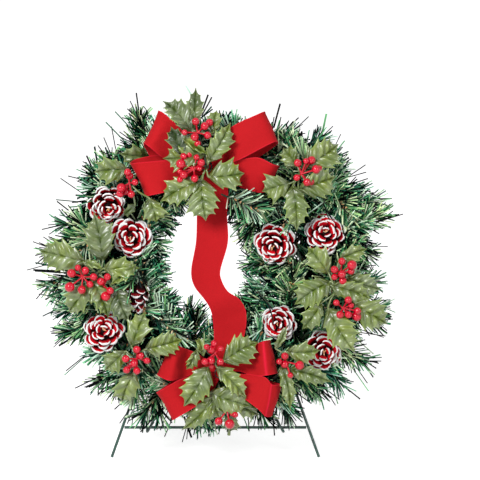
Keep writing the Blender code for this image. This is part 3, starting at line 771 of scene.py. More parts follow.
def make_pine():
    rng = np.random.default_rng(SEED)
    bunches = sum(1 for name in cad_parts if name.startswith("pine_bunch"))
    solids = [Solid() for _ in range(bunches)]
    spread = 360 / bunches

    def bunch_at(degrees):
        return solids[int(((degrees + spread / 2) % 360) // spread)]

    def bunch_of(point):
        return bunch_at(math.degrees(math.atan2(point[1], point[0])))

    for angle, path, layer in make_sprigs(rng):
        solid = bunch_at(angle)
        needles, tint, width = LAYERS[layer][6:]
        stations = 3 if layer < BARE_LAYER else 2
        add_needles(solid, rng, path, needles, rng.uniform(0.44, 0.72) + tint, width, stations)
        add_wire(solid, path, np.linspace(*TWIG_R, TWIG_POINTS), 6, mat=1)
        if layer < BARE_LAYER:
            add_buds(solid, rng, path)
    for base, tip, needles, tint in OVER_SPRIGS:
        solid = bunch_of(base)
        path = smooth_path((base, (np.array(base) + tip) / 2 + (0, 0, 3), tip), TWIG_POINTS)
        add_needles(solid, rng, path, needles, tint, over=True)
        add_wire(solid, path, np.linspace(*OVER_TWIG_R, TWIG_POINTS), 6, mat=1)
        if needles > BARE_SPRIG:
            add_buds(solid, rng, path)
    for root, tip in STRAYS:
        line = np.array(((*root, STRAY_LEVEL), (*tip, STRAY_LEVEL)), float)
        line[0] -= unit(line[1] - line[0]) * STRAY_ROOT
        add_blades(bunch_of(root), rng, line[None], STRAY_TINT, STRAY_WIDTH)
    rng = np.random.default_rng(SEED + 4)
    places = np.linspace(0, 360, EDGE_STRAYS, endpoint=False) + rng.uniform(-3, 3, EDGE_STRAYS)
    for degrees in places:
        edge = by_angle(REACH, degrees)
        root = polar(edge - EDGE_STRAY_ROOT, degrees + rng.uniform(-6, 6), 0)
        tip = polar(edge + rng.uniform(-4, 9), degrees, 0)
        line = np.stack((root, tip)) + (0, 0, rng.uniform(-6, 14))
        add_blades(bunch_of(root), rng, line[None], STRAY_TINT, EDGE_STRAY_WIDTH)
    for k, solid in enumerate(solids):
        name = f"pine_bunch_{k + 1:02d}"
        piece = solid.build(f"{name}_needles", ("needle", "twig", "bud"), 40)
        stand_for(piece, "pine", name)


# ---- pinecones ----
GOLDEN_ANGLE = math.radians(137.508)
CONE_SCALES, SIDE_CONE_SCALES = 27, 20
SIDE_CONE_SHUT = 0.7  # how far the scales of the side cone are folded up
SIDE_CONE_AXIS = (0.04, -1, 0.10)
SIDE_CONE_INSET = 7  # from the end of the side cone to its foot, as its lowest scales reach back
PEG_R = 1.3
PEG_END_W = 8  # the pegs of cones, picks and ties start at this level, in the pine


def basis(axis):
    axis = unit(axis)
    first = unit(np.cross(axis, (0.1, 1.0, 0.2)) if abs(axis[2]) > 0.5 else np.cross(axis, (0.1, 0.2, 1.0)))
    return first, np.cross(axis, first), axis


def add_cone(solid, rng, foot, axis, radius, height, scales, uneven=1.0, shut=0.0):
    """Painted cone: cupped scales in a spiral round the axis, biggest at the bottom. shut folds them up."""
    first, second, up = basis(axis)
    foot = np.asarray(foot, float)
    a = np.array((0, 0.2, 0.38, 0.54, 0.67, 0.77, 0.85, 0.92, 0.97, 1.0))[:, None]
    b = np.array((-1, -0.92, -0.78, -0.56, -0.3, 0, 0.3, 0.56, 0.78, 0.92, 1))[None, :]
    flat = np.ones((a.size, b.size))
    turn_start = rng.uniform(0, TAU)
    for k in range(scales):
        share = (k + 0.5) / scales
        slope = (1 - share**1.15) ** 0.5
        tip_r = radius * slope * rng.uniform(1.05 - 0.13 * uneven, 1.05)
        tip_z = 5 + 0.78 * (height - 5) * (1 - slope**2) ** 0.8
        root_r = (0.16 + 0.5 * shut) * tip_r
        root_z = tip_z - (4.5 + 3.0 * (1 - slope)) * height / 28 - 10 * shut
        wide = (0.225 * tip_r + 2.3) * rng.uniform(0.86, 1.14)
        turn = turn_start + k * GOLDEN_ANGLE + uneven * rng.uniform(-0.19, 0.19)
        out = first * math.cos(turn) + second * math.sin(turn)
        side = np.cross(out, up)
        along = a * (1 - 0.27 * np.abs(b) ** 2.4)
        half = wide * (0.34 + 0.66 * np.sin(math.pi / 2 * np.minimum(along * 1.15, 1)))
        dip = -6 * along * (1 - along) * (0.4 + 0.6 * slope)
        dip = dip + uneven * rng.uniform(-0.4, 0.8) * along**4
        cup = (1.2 + 0.05 * tip_r) * b**2 * (0.3 + 0.7 * along)
        ragged = rng.normal(0, 0.18, flat.shape) * (a > 0.6)
        r = root_r + (tip_r - root_r) * along + ragged
        z = root_z + (tip_z - root_z) * along + (dip + cup) * (1 - 0.6 * shut)
        twist = rng.uniform(-0.14, 0.14) * half * b
        points = foot + out * r[..., None] + side * (half * b)[..., None] + up * (z + twist)[..., None]
        length = math.hypot(tip_r - root_r, tip_z - root_z)
        inwards = (1 - a) * length * flat
        crescent = np.clip(1 - ((b - rng.uniform(-0.3, 0.3)) / 0.95) ** 2, 0, 1) ** 0.8
        painted = (0.85 + 0.025 * tip_r) * rng.uniform(0.45, 1.8) * crescent
        look = np.zeros((*flat.shape, 4))
        look[..., 0] = np.clip(0.5 + (painted - inwards + 0.2) / 3.0, 0, 1)
        # random tone of each scale's red, with painted shade: falling to black towards the root, the folded
        # side cone darker all over
        red_tone_and_shade = rng.uniform(0.7, 1.1) * (1 - 0.9 * shut)
        look[..., 1] = np.clip(red_tone_and_shade - np.maximum(inwards - painted - 2.0, 0) / 4.5, 0, 1)
        look[..., 2] = rng.uniform(0, 1)
        under = look.copy()
        if not shut:
            under[..., 0] = np.where(a > 0.95, 0.62, 0)
            # painted shade: the underside's red is darker
            under[..., 1] = 0.25
        add_sheet(solid, points, 0.8 + 0.8 * a**4, look, under)
    # the core that the scales grow from
    levels = np.linspace(0, 1, 9)
    core_r = radius * 0.34 * np.sqrt(np.clip(1 - (levels * 0.98) ** 2, 0, 1)) + 0.4
    spine = foot + up * (levels * height * 0.6)[:, None]
    # depth 0: the core is painted black as shade
    add_wire(solid, spine, core_r, 14, look=(0, 0, 0.5, 1))
    for _ in range(4):
        turn = rng.uniform(0, TAU)
        lean = up + 0.9 * (first * math.cos(turn) + second * math.sin(turn)) * rng.uniform(0.3, 1)
        start = foot + up * height * rng.uniform(0.62, 0.7)
        line = np.stack((start, start + unit(lean) * 2.4, start + unit(lean) * 4.4))
        add_wire(solid, line, (0.5, 0.6, 0.4), 5, mat=1, look=(0, rng.uniform(0.4, 1), 0, 1))


def finish_cone(solid, number, u, v, peg_top):
    """The peg under a cone, and the cone's piece."""
    add_wire(solid, ((u, v, PEG_END_W), (u, v, peg_top)), PEG_R, 8, mat=2)
    piece = solid.build(f"pinecone_{number}_scales", ("cone", "bud", "twig"), 50)
    stand_for(piece, "cone", f"pinecone_{number}")


def make_cones():
    rng = np.random.default_rng(SEED + 1)
    for number, ((u, v), radius, lean, uneven) in CONES.items():
        solid = Solid()
        foot = (u, v, CONE_BASE_W - 1)
        add_cone(solid, rng, foot, (*lean, CONE_HEIGHT), radius, CONE_HEIGHT, CONE_SCALES, uneven)
        finish_cone(solid, number, u, v, CONE_BASE_W + 4)
    (u, v), radius, length = SIDE_CONE
    level = SIDE_CONE_BASE_W + radius
    foot = (u, v + length / 2 - SIDE_CONE_INSET, level)
    solid = Solid()
    add_cone(solid, rng, foot, SIDE_CONE_AXIS, radius, length, SIDE_CONE_SCALES, shut=SIDE_CONE_SHUT)
    finish_cone(solid, 3, u, v, level)


# ---- holly picks ----
HUB_LEVEL = 60
BOW_HUB_LEVEL = 67
# each pick: hub, peg, level, and its leaves as (base, tip, width, level of the tip, roll, fold, painted
# shade)
HOLLY = {
    "top": ((-12, 104), (-22, 141), BOW_HUB_LEVEL, (
        ((-27, 144), (-24, 191), 21, 50, 4, 10, 0.65),
        ((-27, 142), (-60, 176), 36, 58, -26, 27, 0.65),
        ((-5, 141), (-1, 166), 18, 60, 8, 12, 0.0),
        ((-38, 116), (-51, 148), 26, 64, -10, 30, 1.0),
        ((-13, 118), (-60, 113), 35, 60, -12, 20, 0.3),
        ((-40, 137), (-9, 117), 17, 71, 24, 46, 0.0),
        ((-10, 109), (14, 152), 30, 65, -12, 20, 0.1),
        ((-10, 93), (29, 97), 40, 64, 6, 10, 0.1),
        ((-17, 90), (-63, 66), 32, 62, -14, 14, 0.2),
        ((-18, 91), (-13, 45), 39, 63, 0, 8, 0.1),
    )),
    "upper_left": ((-96, 86), (-96, 86), HUB_LEVEL + 1.5, (
        ((-76, 116), (-107, 119), 28, 42, 8, 12, 0.55, 27),
        ((-97, 101), (-135, 98), 34, 58, 12, 20, 0.3),
        ((-75, 70), (-67, 43), 31, 54, 0, 14, 0.1),
        ((-90, 63), (-103, 51), 13, 52, 0, 14, 0.8),
    )),
    "left": ((-132, -12), (-132, -12), HUB_LEVEL, (
        ((-125, 1), (-135, 54), 36, 61, 0, 10, 0.65),
        ((-144, 0), (-196, 13), 38, 40, 4, 10, 0.3),
        ((-147, 0), (-125, -7), 13, 64, 30, 30, 0.0),
        ((-125, -7), (-85, -6), 29, 60, 22, 24, 0.2),
        ((-90, -3), (-117, -25), 20, 66, -14, 24, 0.0),
        ((-139, -25), (-163, -55), 31, 46, -8, 12, 0.3),
        ((-137, -18), (-119, -61), 28, 58, 18, 18, 0.3),
        ((-112, -26), (-96, -66), 29, 57, -6, 16, 0.9),
    )),
    "lower_left": ((-90, -103), (-90, -103), HUB_LEVEL + 1.5, (
        ((-94, -92), (-79, -54), 31, 60, 12, 16, 0.1),
        ((-79, -95), (-38, -84), 32, 63, -14, 16, 0.1),
        ((-100, -97), (-123, -118), 27, 56, -6, 14, 0.2),
        ((-91, -120), (-105, -154), 32, 44, 6, 12, 0.1),
    )),
    "bottom": ((-3, -105), (-14, -96), BOW_HUB_LEVEL, (
        ((-22, -95), (-34, -117), 18, 62, 30, 30, 0.1),
        ((-16, -101), (-21, -82), 19, 63, -24, 28, 0.0),
        ((-10, -114), (-37.5, -157.5), 34, 63, 0, 8, 0.1),
        ((6, -108), (44, -87), 38, 62, 0, 6, 0.1),
        ((-1, -114), (31, -148), 28, 63, 20, 30, 0.0),
    )),
    "lowest": ((5, -143), (5, -143), HUB_LEVEL - 3, (
        ((-1, -144), (-40, -184), 25, 44, 4, 14, 0.2),
        ((-10, -142), (37, -157), 34, 57, 0, 12, 0.3),
        ((-7, -146), (2, -170), 28, 52, 4, 12, 0.3),
        ((14, -149), (46, -167), 22, 44, 6, 14, 0.5),
        ((14, -165), (14, -185), 22, 46, 0, 10, 0.5),
    )),
    "lower_right": ((76, -106), (76, -106), HUB_LEVEL, (
        ((63, -94), (75, -69), 12, 62, 20, 20, 0.5),
        ((75, -98), (111, -96), 27, 62, -10, 16, 0.2),
        ((78, -116), (125, -131), 22, 56, 0, 14, 0.3),
        ((70, -112), (79, -162), 17, 56, 0, 14, 0.3),
    )),
    "right": ((130, -30), (130, -30), HUB_LEVEL, (
        ((121, -12), (98, 17), 33, 61, 0, 14, 0.1),
        ((132, 2), (163, 15), 21, 54, 0, 18, 0.1),
        ((140, -17), (179, -30), 26, 50, 0, 14, 0.5),
        ((122, -25), (168, -40), 27, 57, -6, 16, 0.3),
        ((123, -21), (84, -46), 38, 61, 4, 12, 0.0),
        ((113, -44), (92, -73), 27, 58, 0, 14, 0.3),
        ((144, -44), (186, -68), 37, 44, 6, 12, 0.2),
        ((120, -50), (149, -98), 36, 60, 0, 10, 0.1),
    )),
    "upper_right": ((88, 92), (88, 92), HUB_LEVEL + 1.5, (
        ((94, 105), (132, 129), 39, 50, -6, 12, 0.2),
        ((87, 104), (71, 124), 27, 58, 8, 14, 0.3),
        ((79, 86), (48, 77), 36, 60, 4, 14, 0.2),
        ((82, 84), (86, 34), 31, 60, 0, 12, 0.1),
        ((88, 79), (129, 93), 40, 52, -14, 14, 0.2),
    )),
}
LEAF_THICK = 0.55
LEAF_WIDER = 1.05  # every leaf is this much wider than its row says
STALK_R = (0.9, 1.3)  # at the hub and in the leaf
HUB_WIRE_R, WOUND_R, WOUND_WIRE_R = 1.5, 2.0, 0.7  # wire between two hubs, and the wire wound on each
HALF_COLUMNS = (0.1, 0.25, 0.43, 0.62, 0.8, 0.94, 1)
LEAF_COLUMNS = np.array((*(-x for x in reversed(HALF_COLUMNS)), 0, *HALF_COLUMNS))


def leaf_outline(rng, spines, steps):
    """Shares of the length, half widths on one side, and place between two side veins, row by row."""
    at = np.linspace(0.13, 0.73, spines) + rng.uniform(-0.025, 0.025, spines)
    stops = np.concatenate(((0,), at, (1,)))
    envelope = np.interp(at, (0.0, 0.13, 0.3, 0.5, 0.73, 1.0), (0.3, 0.78, 1.0, 0.97, 0.6, 0.0))
    widths = np.concatenate(((0.12,), envelope * rng.uniform(0.86, 1.08, spines), (0.012,)))
    share, half, cell = [], [], []
    for i in range(spines + 1):
        t = np.linspace(0, 1, steps, endpoint=False)
        bow = t**0.62
        dip = (-0.1 if i == 0 else 0.25 if i < spines else 0.27) * widths[max(i, 1)]
        share.append(stops[i] + (stops[i + 1] - stops[i]) * t)
        half.append(widths[i] + (widths[i + 1] - widths[i]) * t - dip * 4 * bow * (1 - bow))
        cell.append(t)
    share.append([1.0])
    half.append([widths[-1]])
    cell.append([0.0])
    return np.concatenate(share), np.maximum(np.concatenate(half), 0.012), np.concatenate(cell)


def add_holly_leaf(solid, rng, base, tip, width, roll, fold, painted_leaf_shade):
    """A leaf of quilted cloth: spined edge, sunk midrib, raised cells between its side veins."""
    base, tip = np.asarray(base, float), np.asarray(tip, float)
    along = tip - base
    length = np.linalg.norm(along)
    width = width * LEAF_WIDER
    spines = 2 if length < 22 else 3 if length < 42 else 4
    share, half_right, cell = leaf_outline(rng, spines, 11)
    _, half_left, _ = leaf_outline(np.random.default_rng(rng.integers(1 << 30)), spines, 11)
    rows = len(share)
    forward = unit(along)
    across = unit(np.cross(forward, (0, 0, 1)))
    up = np.cross(across, forward)
    turn = math.radians(roll) + np.radians(rng.uniform(-14, 14)) * (share - 0.3)
    across_at = across * np.cos(turn)[:, None] + up * np.sin(turn)[:, None]
    up_at = np.cross(across_at, forward)
    x = LEAF_COLUMNS[None, :]
    half = np.where(x > 0, half_right[:, None], half_left[:, None]) * width / 2
    spread = half * np.abs(x)
    s = share[:, None]
    lean = 0.6 * spread * np.minimum(1, (1 - s) * 3) / length
    angle = math.radians(fold)
    ease = np.minimum(1, np.abs(x) / 0.3)
    rise = spread * math.sin(angle) * ease - 0.055 * width * np.abs(x) ** 3 * half / (width / 2)
    folds = np.where(share > 0.73, 2, 1) if length > 30 else np.ones(rows)
    ripple = 0.5 - 0.5 * np.cos(folds * TAU * cell)[:, None]
    swell = [np.interp(share, np.linspace(0, 1, 7), rng.uniform(0.45, 1.2, 7)) for _ in range(2)]
    swell = np.where(x > 0, swell[0][:, None], swell[1][:, None])
    pillow = (1 - np.abs(x) ** 5) * np.minimum(1, spread / 3)
    rise += 2.1 * swell * pillow * ripple * np.minimum(1, (1 - s) * 4)
    rise += 0.025 * width * pillow * np.sin(math.pi * cell[:, None])
    rise += 0.35 * pillow * np.cos(2 * TAU * cell[:, None]) * (folds == 1)[:, None]
    rise -= 0.75 * np.exp(-((spread / 0.9) ** 2))
    arch = 0.09 * length * np.sin(math.pi * share**0.8) - 0.03 * length * share**2
    wave = rng.uniform(-1, 1) * 0.03 * width * np.sin(TAU * (share * 1.3 + rng.uniform(0, 1)))
    sideways = rng.uniform(-0.05, 0.05) * length * np.sin(math.pi * share)
    centre = base + along * share[:, None] + up * arch[:, None] + across * sideways[:, None]
    grid = (
        centre[:, None]
        + along * lean[..., None]
        + across_at[:, None] * (np.sign(x) * spread * math.cos(angle))[..., None]
        + up_at[:, None] * (rise + wave[:, None] * x)[..., None]
    )
    look = np.zeros((rows, len(LEAF_COLUMNS), 4))
    look[..., 0] = s
    look[..., 1] = np.maximum(np.abs(x), (s - 0.9) * 10)
    # painted shade in the grooves between cells, added to the midrib's line
    groove_shade = (1 - ripple) ** 4 * (np.abs(x) < 0.9)
    look[..., 2] = np.clip(np.exp(-((spread / 0.6) ** 2)) + 0.7 * groove_shade, 0, 1)
    # alpha: the leaf's painted shade
    look[..., 3] = painted_leaf_shade
    add_sheet(solid, grid, LEAF_THICK, look)


def make_holly():
    rng = np.random.default_rng(SEED + 2)
    for name, (hub, peg, level, leaves) in HOLLY.items():
        solid = Solid()
        hub_at, peg_at = np.array((*hub, level), float), np.array((*peg, level), float)
        for base, tip, width, tip_level, roll, fold, painted_leaf_shade, *low in leaves:
            base_level = low[0] if low else level + rng.uniform(-0.8, 0.8)
            base, tip = np.array((*base, base_level), float), (*tip, tip_level)
            add_holly_leaf(solid, rng, base, tip, width, roll, fold, painted_leaf_shade)
            near = hub_at if np.linalg.norm(base - hub_at) <= np.linalg.norm(base - peg_at) else peg_at
            bend = (near + base) / 2 + np.array((*rng.uniform(-1.5, 1.5, 2), 1.5))
            stalk = smooth_path((near - (0, 0, 2), bend, base, base + unit(tip - base) * 4), 12)
            # stalks take painted shade: some always, more under shaded leaves
            look = (0.25, 0, 0.2, 0.3 + 0.5 * painted_leaf_shade)
            add_wire(solid, stalk, np.linspace(*STALK_R, 12), 8, look=look)
        add_wire(solid, (peg_at * (1, 1, 0) + (0, 0, PEG_END_W), peg_at), PEG_R, 8, mat=1)
        if np.linalg.norm(hub_at - peg_at) > 1:
            between = (hub_at + peg_at) / 2 + (1, 0, -1)
            wire = smooth_path((peg_at - (0, 0, 1), between, hub_at - (0, 0, 1)), 12)
            add_wire(solid, wire, HUB_WIRE_R, 8, mat=1)
        if name == "lowest":  # the end of a cut stem, below the leaves
            add_wire(solid, ((13, -176, 47), (12, -189, 44)), (1.5, 1.9), 9, look=(0.3, 0, 0, 0.4))
        turns = np.linspace(0, 3 * TAU, 46)
        for u, v, w in (hub_at, peg_at):
            winding = coil(u, v, WOUND_R, turns, w + (turns / TAU * 1.5 - 3.5))
            add_wire(solid, winding, WOUND_WIRE_R, 6, mat=1)
        piece = solid.build(f"holly_{name}_leaves", ("leaf", "twig"), 75)
        stand_for(piece, "leaf", f"holly_leaves_{name}")


# each cluster: where its stems meet, the pick's level, and its berries (u, v, radius)
BERRIES = {
    "top_upper": ((-22, 141), BOW_HUB_LEVEL, (
        (-24, 153, 4.2), (-14, 148, 4.4), (-9, 152, 4.2), (-36, 141, 3.4), (-25, 136, 4.4),
        (-11, 138, 4.0), (-22, 129, 3.9),
    )),
    "top_lower": ((-26, 101), BOW_HUB_LEVEL, (
        (-40, 107, 5.3), (-37, 115, 3.9), (-31, 117, 4.4), (-23, 114, 3.3), (-18, 108, 4.2),
        (-37, 95, 4.4), (-41, 90, 3.3), (-25, 91, 4.1), (-41, 99, 3.3), (-20, 102, 3.3),
    )),
    "upper_left": ((-96, 86), HUB_LEVEL + 1.5, (
        (-98, 98, 3.9), (-96, 94, 4.2), (-90, 87, 3.6), (-105, 81, 4.9), (-106, 75, 4.4), (-100, 77, 3.9),
        (-94, 74, 4.0),
    )),
    "left_outer": ((-147, -16), HUB_LEVEL, (
        (-152, -6, 3.5), (-144, -9, 4.2), (-159, -12, 4.8), (-135, -16, 4.2), (-161, -27, 5.5),
        (-148, -30, 4.5), (-139, -24, 3.8),
    )),
    "left_inner": ((-124, -26), HUB_LEVEL, (
        (-127, -21, 4.4), (-120, -16, 3.9), (-117, -31, 4.0), (-122, -37, 5.4),
    )),
    "lower_left": ((-88, -105), HUB_LEVEL + 1.5, (
        (-88, -95, 4.3), (-100, -105, 4.2), (-84, -102, 4.2), (-77, -107, 3.6), (-91, -110, 4.4),
        (-95, -112, 3.9), (-99, -117, 4.0), (-88, -118, 4.0),
    )),
    "bottom": ((-3, -99), BOW_HUB_LEVEL, (
        (-4, -88, 3.6), (-12, -92, 3.3), (-7, -95, 4.7), (3, -94, 3.4), (-14, -108, 3.9), (-7, -107, 4.2),
        (3, -108, 4.0), (-7, -113, 3.5),
    )),
    "lowest": ((10, -161), HUB_LEVEL - 3, (
        (1, -173, 4.4), (13, -176, 5.4), (19, -166, 3.3), (16, -165, 3.0),
    )),
    "lower_right": ((74, -108), HUB_LEVEL, (
        (73, -102, 4.1), (67, -108, 3.3), (73, -111, 4.4), (89, -112, 5.1), (79, -123, 3.2),
    )),
    "right_outer": ((134, -11), HUB_LEVEL, (
        (135, 1, 4.1), (146, -3, 5.3), (127, -8, 4.2), (145, -10, 3.7), (135, -13, 4.5), (127, -16, 3.6),
        (136, -20, 4.4),
    )),
    "right_inner": ((136, -50), HUB_LEVEL, (
        (129, -44, 3.6), (142, -41, 4.2), (145, -47, 3.3), (133, -57, 4.2), (130, -62, 4.3),
        (152, -53, 4.0), (151, -59, 5.1), (142, -57, 3.9),
    )),
    "upper_right": ((91, 96), HUB_LEVEL + 1.5, (
        (87, 108, 4.2), (96, 110, 3.3), (102, 111, 4.4), (107, 101, 4.9), (110, 102, 4.2), (86, 92, 3.7),
        (97, 87, 4.3), (101, 88, 4.3),
    )),
}
BERRY_ABOVE = 9  # how far a berry stands in front of its pick
BERRY_GAP = 0.2
STEM_R = (0.8, 1.0)  # at the knot and at the berry


def make_berries():
    rng = np.random.default_rng(SEED + 3)
    for name, (knot, level, berries) in BERRIES.items():
        solid = Solid()
        knot_at = np.array((*knot, level + 4), float)
        placed = []
        for u, v, radius in berries:
            w = level + BERRY_ABOVE + rng.uniform(-1, 1)
            for other, other_r in placed:  # one that would touch an earlier one goes behind it
                apart = math.hypot(u - other[0], v - other[1])
                touch = math.sqrt(max((radius + other_r) ** 2 - apart**2, 0))
                if abs(w - other[2]) < touch:
                    w = other[2] - touch - BERRY_GAP
            centre = np.array((u, v, w))
            placed.append((centre, radius))
            away = unit((centre - knot_at) * (1, 1, 0.3) + (0, 0, 2.5))
            tint = rng.uniform(0, 1)
            radii = (radius, radius * rng.uniform(0.96, 1.05))
            add_ball(solid, centre, radii, away, look=(0, 0, 0, tint), top_look=(0, 1, 0, tint))
            add_ball(solid, centre + away * radius * 0.98, (0.55, 0.5), away, 5, 8, mat=1)
            foot = centre - away * radius * 0.9
            stem = smooth_path((knot_at, (knot_at + foot) / 2 + (0, 0, -1.2), foot), 10)
            add_wire(solid, stem, np.linspace(*STEM_R, 10), 7, mat=1)
        add_ball(solid, knot_at - (0, 0, 0.4), (1.5, 1.8), mat=1)
        add_wire(solid, (knot_at - (0, 0, 4.5), knot_at), 0.9, 7, mat=1)
        piece = solid.build(f"{name}_berries", ("berry", "berry_stem"), 60)
        stand_for(piece, "berry", f"berries_{name}")


# ---- ribbon ----
RIBBON_THICK = 0.7
EDGE_THICK = 1.3  # the ribbon's wired edge
RIBBON_CROWN = 0.9  # how far its middle stands out between the edges
GATHER_DEPTH, GATHER_REACH = 1.3, 0.17  # pleats next to a tie: how deep, and over what share of the length
RIBBON_COLUMNS = np.array((-1, -0.955, -0.9, -0.7, -0.4, -0.1, 0.2, 0.5, 0.75, 0.9, 0.955, 1))
# the pressed creases across some loops, at this share of the length, raised and painted lighter as a
# highlight
CREASES = {"bottom_loop_upper_right_velvet": 0.42, "bottom_loop_lower_right_velvet": 0.42}


def ribbon_piece(name, node_name, sections, rows):
    """One length of velvet ribbon through pairs of points on its two edges."""
    pairs = smooth_path(sections, rows)
    x = RIBBON_COLUMNS[None, :, None]
    grid = pairs[:, :1] * (1 - x) / 2 + pairs[:, 1:] * (1 + x) / 2
    normals = grid_normals(grid)
    rng = np.random.default_rng(sum(map(ord, name)))
    s = np.linspace(0, 1, rows)[:, None]
    soft = 0.35 * np.sin(TAU * (s * 2.3 + rng.uniform(0, 1)) + 1.8 * RIBBON_COLUMNS)
    gather = np.exp(-s / GATHER_REACH) + np.exp(-(1 - s) / GATHER_REACH)
    soft = soft + GATHER_DEPTH * gather * np.cos(1.6 * math.pi * RIBBON_COLUMNS + rng.uniform(-1, 1))
    # each pressed crease: a little ridge, and a painted highlight in the look
    crease_and_highlight = np.exp(-(((s - CREASES.get(name, -1)) / 0.012) ** 2))
    crown = RIBBON_CROWN * (1 - RIBBON_COLUMNS**2)
    grid = grid + normals * (crown + soft + 0.5 * crease_and_highlight)[..., None]
    look = np.zeros((rows, len(RIBBON_COLUMNS), 4))
    look[..., 0] = np.abs(RIBBON_COLUMNS)
    look[..., 1] = crease_and_highlight
    solid = Solid()
    add_sheet(solid, grid, np.where(np.abs(RIBBON_COLUMNS) > 0.93, EDGE_THICK, RIBBON_THICK), look)
    piece = solid.build(name, ("velvet",), 80)
    stand_for(piece, "ribbon", node_name)


def make_ribbons():
    for name, sections in LOOPS.items():
        ribbon_piece(f"{name}_velvet", f"bow_{name}", sections, 80)
    ribbon_piece("streamer_velvet", "ribbon_streamer", STREAMER, 90)


# ---- wires ----
TIES = {"top": (-12, 104), "bottom": (2, -121)}
TIE_LOW_W, TIE_HIGH_W = 36, 55
WINDING_R, WINDING_WIRE_R = 5.2, 0.75  # the wire wound round a bow's middle
TWIST_R, TWIST_WIRE_R = 0.6, 0.62  # the two wires of the twisted tail


def make_ties():
    """The wire wound round the middle of each bow, and its twisted tail into the pine."""
    low, high = TIE_LOW_W + 1, TIE_HIGH_W - 1
    turns, twist = np.linspace(0, 7 * TAU, 170), np.linspace(0, 5 * TAU, 90)
    for name, (u, v) in TIES.items():
        solid = Solid()
        winding = coil(u, v, WINDING_R, turns, np.linspace(low, high, len(turns)))
        add_wire(solid, winding, WINDING_WIRE_R, 7)
        knot = [(u, v, level) for level in (TIE_LOW_W, low, 42, 46, 50, high, TIE_HIGH_W)]
        add_wire(solid, knot, (3.6, 4.6, 4.9, 4.7, 4.9, 4.6, 3.6), 18, mat=1)
        for start in (0, math.pi):
            tail = coil(u, v, TWIST_R, twist + start, np.linspace(PEG_END_W, low, len(twist)))
            add_wire(solid, tail, TWIST_WIRE_R, 6)
        piece = solid.build(f"bow_{name}_tie_wire", ("wire", "velvet"), 60)
        stand_for(piece, "tie_wire", f"bow_{name}_tie")


def make_ring():
    solid = Solid()
    for radius in RING_RADII:
        add_wire(solid, [polar(radius, a, RING_W) for a in range(0, 360, 3)], RING_WIRE_R, 10, closed=True)
    for degrees in range(0, 360, 60):
        add_wire(solid, [polar(r, degrees, RING_W) for r in np.linspace(*RING_RADII, 6)], CROSS_WIRE_R, 8)
    stand_for(solid.build("ring_wires", ("wire",), 60), "ring_wire", "ring_frame")


EASEL_U, LEG_W, EASEL_R, BRACE_R = -3, RING_W - 2 * RING_WIRE_R - 0.3, 1.6, 1.4
BAR_V, BAR_HALF, SPLAY, LEG_TOP_V, FOOT_V = -182.6, 102.6, 0.358, -74, -216
REAR_FOOT_Y, REAR_BEND_V, REAR_TOP_V = 250, 108, 134
HOOK_U, BRACE_SHARE = 75, 0.84
FLOOR_Z = FOOT_V * math.cos(LEAN) + LEG_W * math.sin(LEAN)


def leg_point(sign, v):
    return np.array((EASEL_U + sign * (BAR_HALF - SPLAY * (v - BAR_V)), v, LEG_W))


def flat_ended(points):
    """The last point moved up its wire, so that a round wire that slants to the floor stays above it."""
    points = [np.asarray(p, float) for p in points]
    way = unit(points[-1] - points[-2])
    down = np.array((0, -math.cos(LEAN), -math.sin(LEAN)))
    slant = abs(np.dot(way, down))
    points[-1] = points[-1] - way * EASEL_R * math.sqrt(max(1 - slant**2, 0)) / slant
    return points


def easel_wire(name, node_name, path, radius=EASEL_R, sides=14):
    solid = Solid()
    add_wire(solid, path, radius, sides)
    stand_for(solid.build(name, ("wire",), 60), "easel_wire", node_name)


def make_easel():
    for side, sign in (("left", -1), ("right", 1)):
        leg = flat_ended((leg_point(sign, LEG_TOP_V), leg_point(sign, FOOT_V)))
        easel_wire(f"easel_leg_{side}_wire", f"easel_leg_{side}", leg)
    inset = EASEL_R * (1.06 + SPLAY)
    bar = (leg_point(-1, BAR_V) + (inset, 0, 0), leg_point(1, BAR_V) - (inset, 0, 0))
    easel_wire("easel_bar_wire", "easel_base_bar", bar)
    rear_v = REAR_FOOT_Y * math.sin(LEAN) + FLOOR_Z * math.cos(LEAN)
    rear_w = -REAR_FOOT_Y * math.cos(LEAN) + FLOOR_Z * math.sin(LEAN)
    rear_foot = np.array((EASEL_U, rear_v, rear_w))
    bend, top = np.array((EASEL_U, REAR_BEND_V, LEG_W)), np.array((EASEL_U, REAR_TOP_V, LEG_W))
    lower = unit(rear_foot - bend)
    knee = (bend + (0, 5, 0), bend + (0, 1.4, -0.5) + lower * 0.4, bend + lower * 5)
    rear_leg = flat_ended((top, *knee, (bend + rear_foot) / 2, rear_foot))
    easel_wire("easel_rear_leg_wire", "easel_rear_leg", rear_leg)
    joint = bend + (rear_foot - bend) * BRACE_SHARE
    for side, sign in (("left", -1), ("right", 1)):
        hook, inward = EASEL_U + sign * HOOK_U, -sign
        start = joint + (sign * (EASEL_R + BRACE_R + 0.9), 0, 0)
        hooked = np.array((
            (hook + 6 * inward, BAR_V + 6.6, LEG_W - 6.5), (hook + inward, BAR_V - 3.4, LEG_W - 4.6),
            (hook, BAR_V - 4.6, LEG_W), (hook + 0.5 * inward, BAR_V - 3.0, LEG_W + 4.2),
            (hook + 7 * inward, BAR_V + 6.6, LEG_W + 4.8),
        ))
        path = np.concatenate(((start, start * 0.1 + hooked[0] * 0.9), smooth_path(hooked, 24)))
        easel_wire(f"easel_brace_{side}_wire", f"easel_brace_{side}", path, BRACE_R, 10)


make_pine()
make_cones()
make_holly()
make_berries()
make_ribbons()
make_ties()
make_ring()
make_easel()


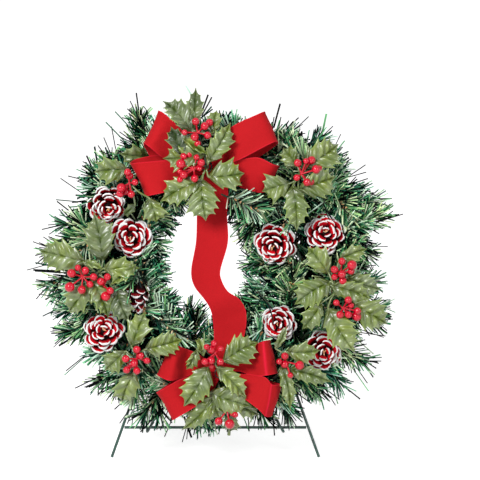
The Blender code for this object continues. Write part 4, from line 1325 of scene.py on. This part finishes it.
# ---- camera, floor and light ----
FIELD = 528  # millimetres of the wreath's plane across the picture
AIM = (24.2, 24.2, 0)  # the point of the wreath's plane in the middle of the picture
DISTANCE = 6  # from the camera to that point, in metres
SENSOR = 36
FLOOR_REACH = 25  # metres from the middle of the floor to its edges
FLOOR_GLOW = 0.76  # brings the floor to white where the lamps are weak, and leaves the shadow on it
WORLD_LIGHT = 0.24


def aimed(made, place, facing):
    """Puts a camera or a lamp in its place and turns it to face in a direction."""
    made.location = place
    made.rotation_mode = "QUATERNION"
    made.rotation_quaternion = Vector(facing).to_track_quat("-Z", "Y")


def make_camera():
    data = bpy.data.cameras.new("camera")
    data.sensor_width = SENSOR
    data.lens = SENSOR * DISTANCE / (FIELD * MM)
    data.clip_start, data.clip_end = 0.1, 60
    camera = add_to_scene("camera", data)
    aimed(camera, to_frame(AIM) + AXIS_W * DISTANCE, -AXIS_W)
    bpy.context.scene.camera = camera


def background_rays(nodes):
    """1 for the rays that see the white background: from the camera, in reflections and through glass."""
    rays = nodes.make("LightPath").outputs
    seen = nodes.maths("MAXIMUM", rays["Is Camera Ray"], rays["Is Glossy Ray"])
    return nodes.maths("MAXIMUM", seen, rays["Is Transmission Ray"])


def floor_sockets(nodes):
    return {
        "Base Color": (0.8, 0.8, 0.8, 1),
        "Roughness": 0.9,
        "Emission Color": WHITE,
        "Emission Strength": nodes.maths("MULTIPLY", background_rays(nodes), FLOOR_GLOW),
    }


def make_floor():
    mesh = bpy.data.meshes.new("floor")
    signs = ((-1, -1), (1, -1), (1, 1), (-1, 1))
    mesh.from_pydata([(x * FLOOR_REACH, y * FLOOR_REACH, 0) for x, y in signs], [], [(0, 1, 2, 3)])
    mesh.materials.append(make_material("pale_floor", floor_sockets))
    floor = add_to_scene("floor", mesh)


def make_area(name, place, size, power, aim=(0, 0, 0.2)):
    data = bpy.data.lights.new(name, "AREA")
    data.shape = "RECTANGLE"
    data.size, data.size_y = size
    data.energy = power
    aimed(add_to_scene(name, data), place, Vector(aim) - Vector(place))


def make_light():
    world = bpy.data.worlds.new("studio")
    bpy.context.scene.world = world
    world.use_nodes = True
    nodes = Nodes(world.node_tree)
    background = world.node_tree.nodes["Background"].inputs
    nodes.put(WHITE, background["Color"])
    strength = nodes.maths("MULTIPLY_ADD", background_rays(nodes), 1 - WORLD_LIGHT, WORLD_LIGHT)
    nodes.put(strength, background["Strength"])
    make_area("key", (-0.9, -1.6, 1.5), (0.75, 0.75), 44)
    make_area("fill", (1.3, -1.4, 0.9), (0.4, 0.4), 9)


make_camera()
make_floor()
make_light()
bpy.context.scene.view_settings.view_transform = "Standard"
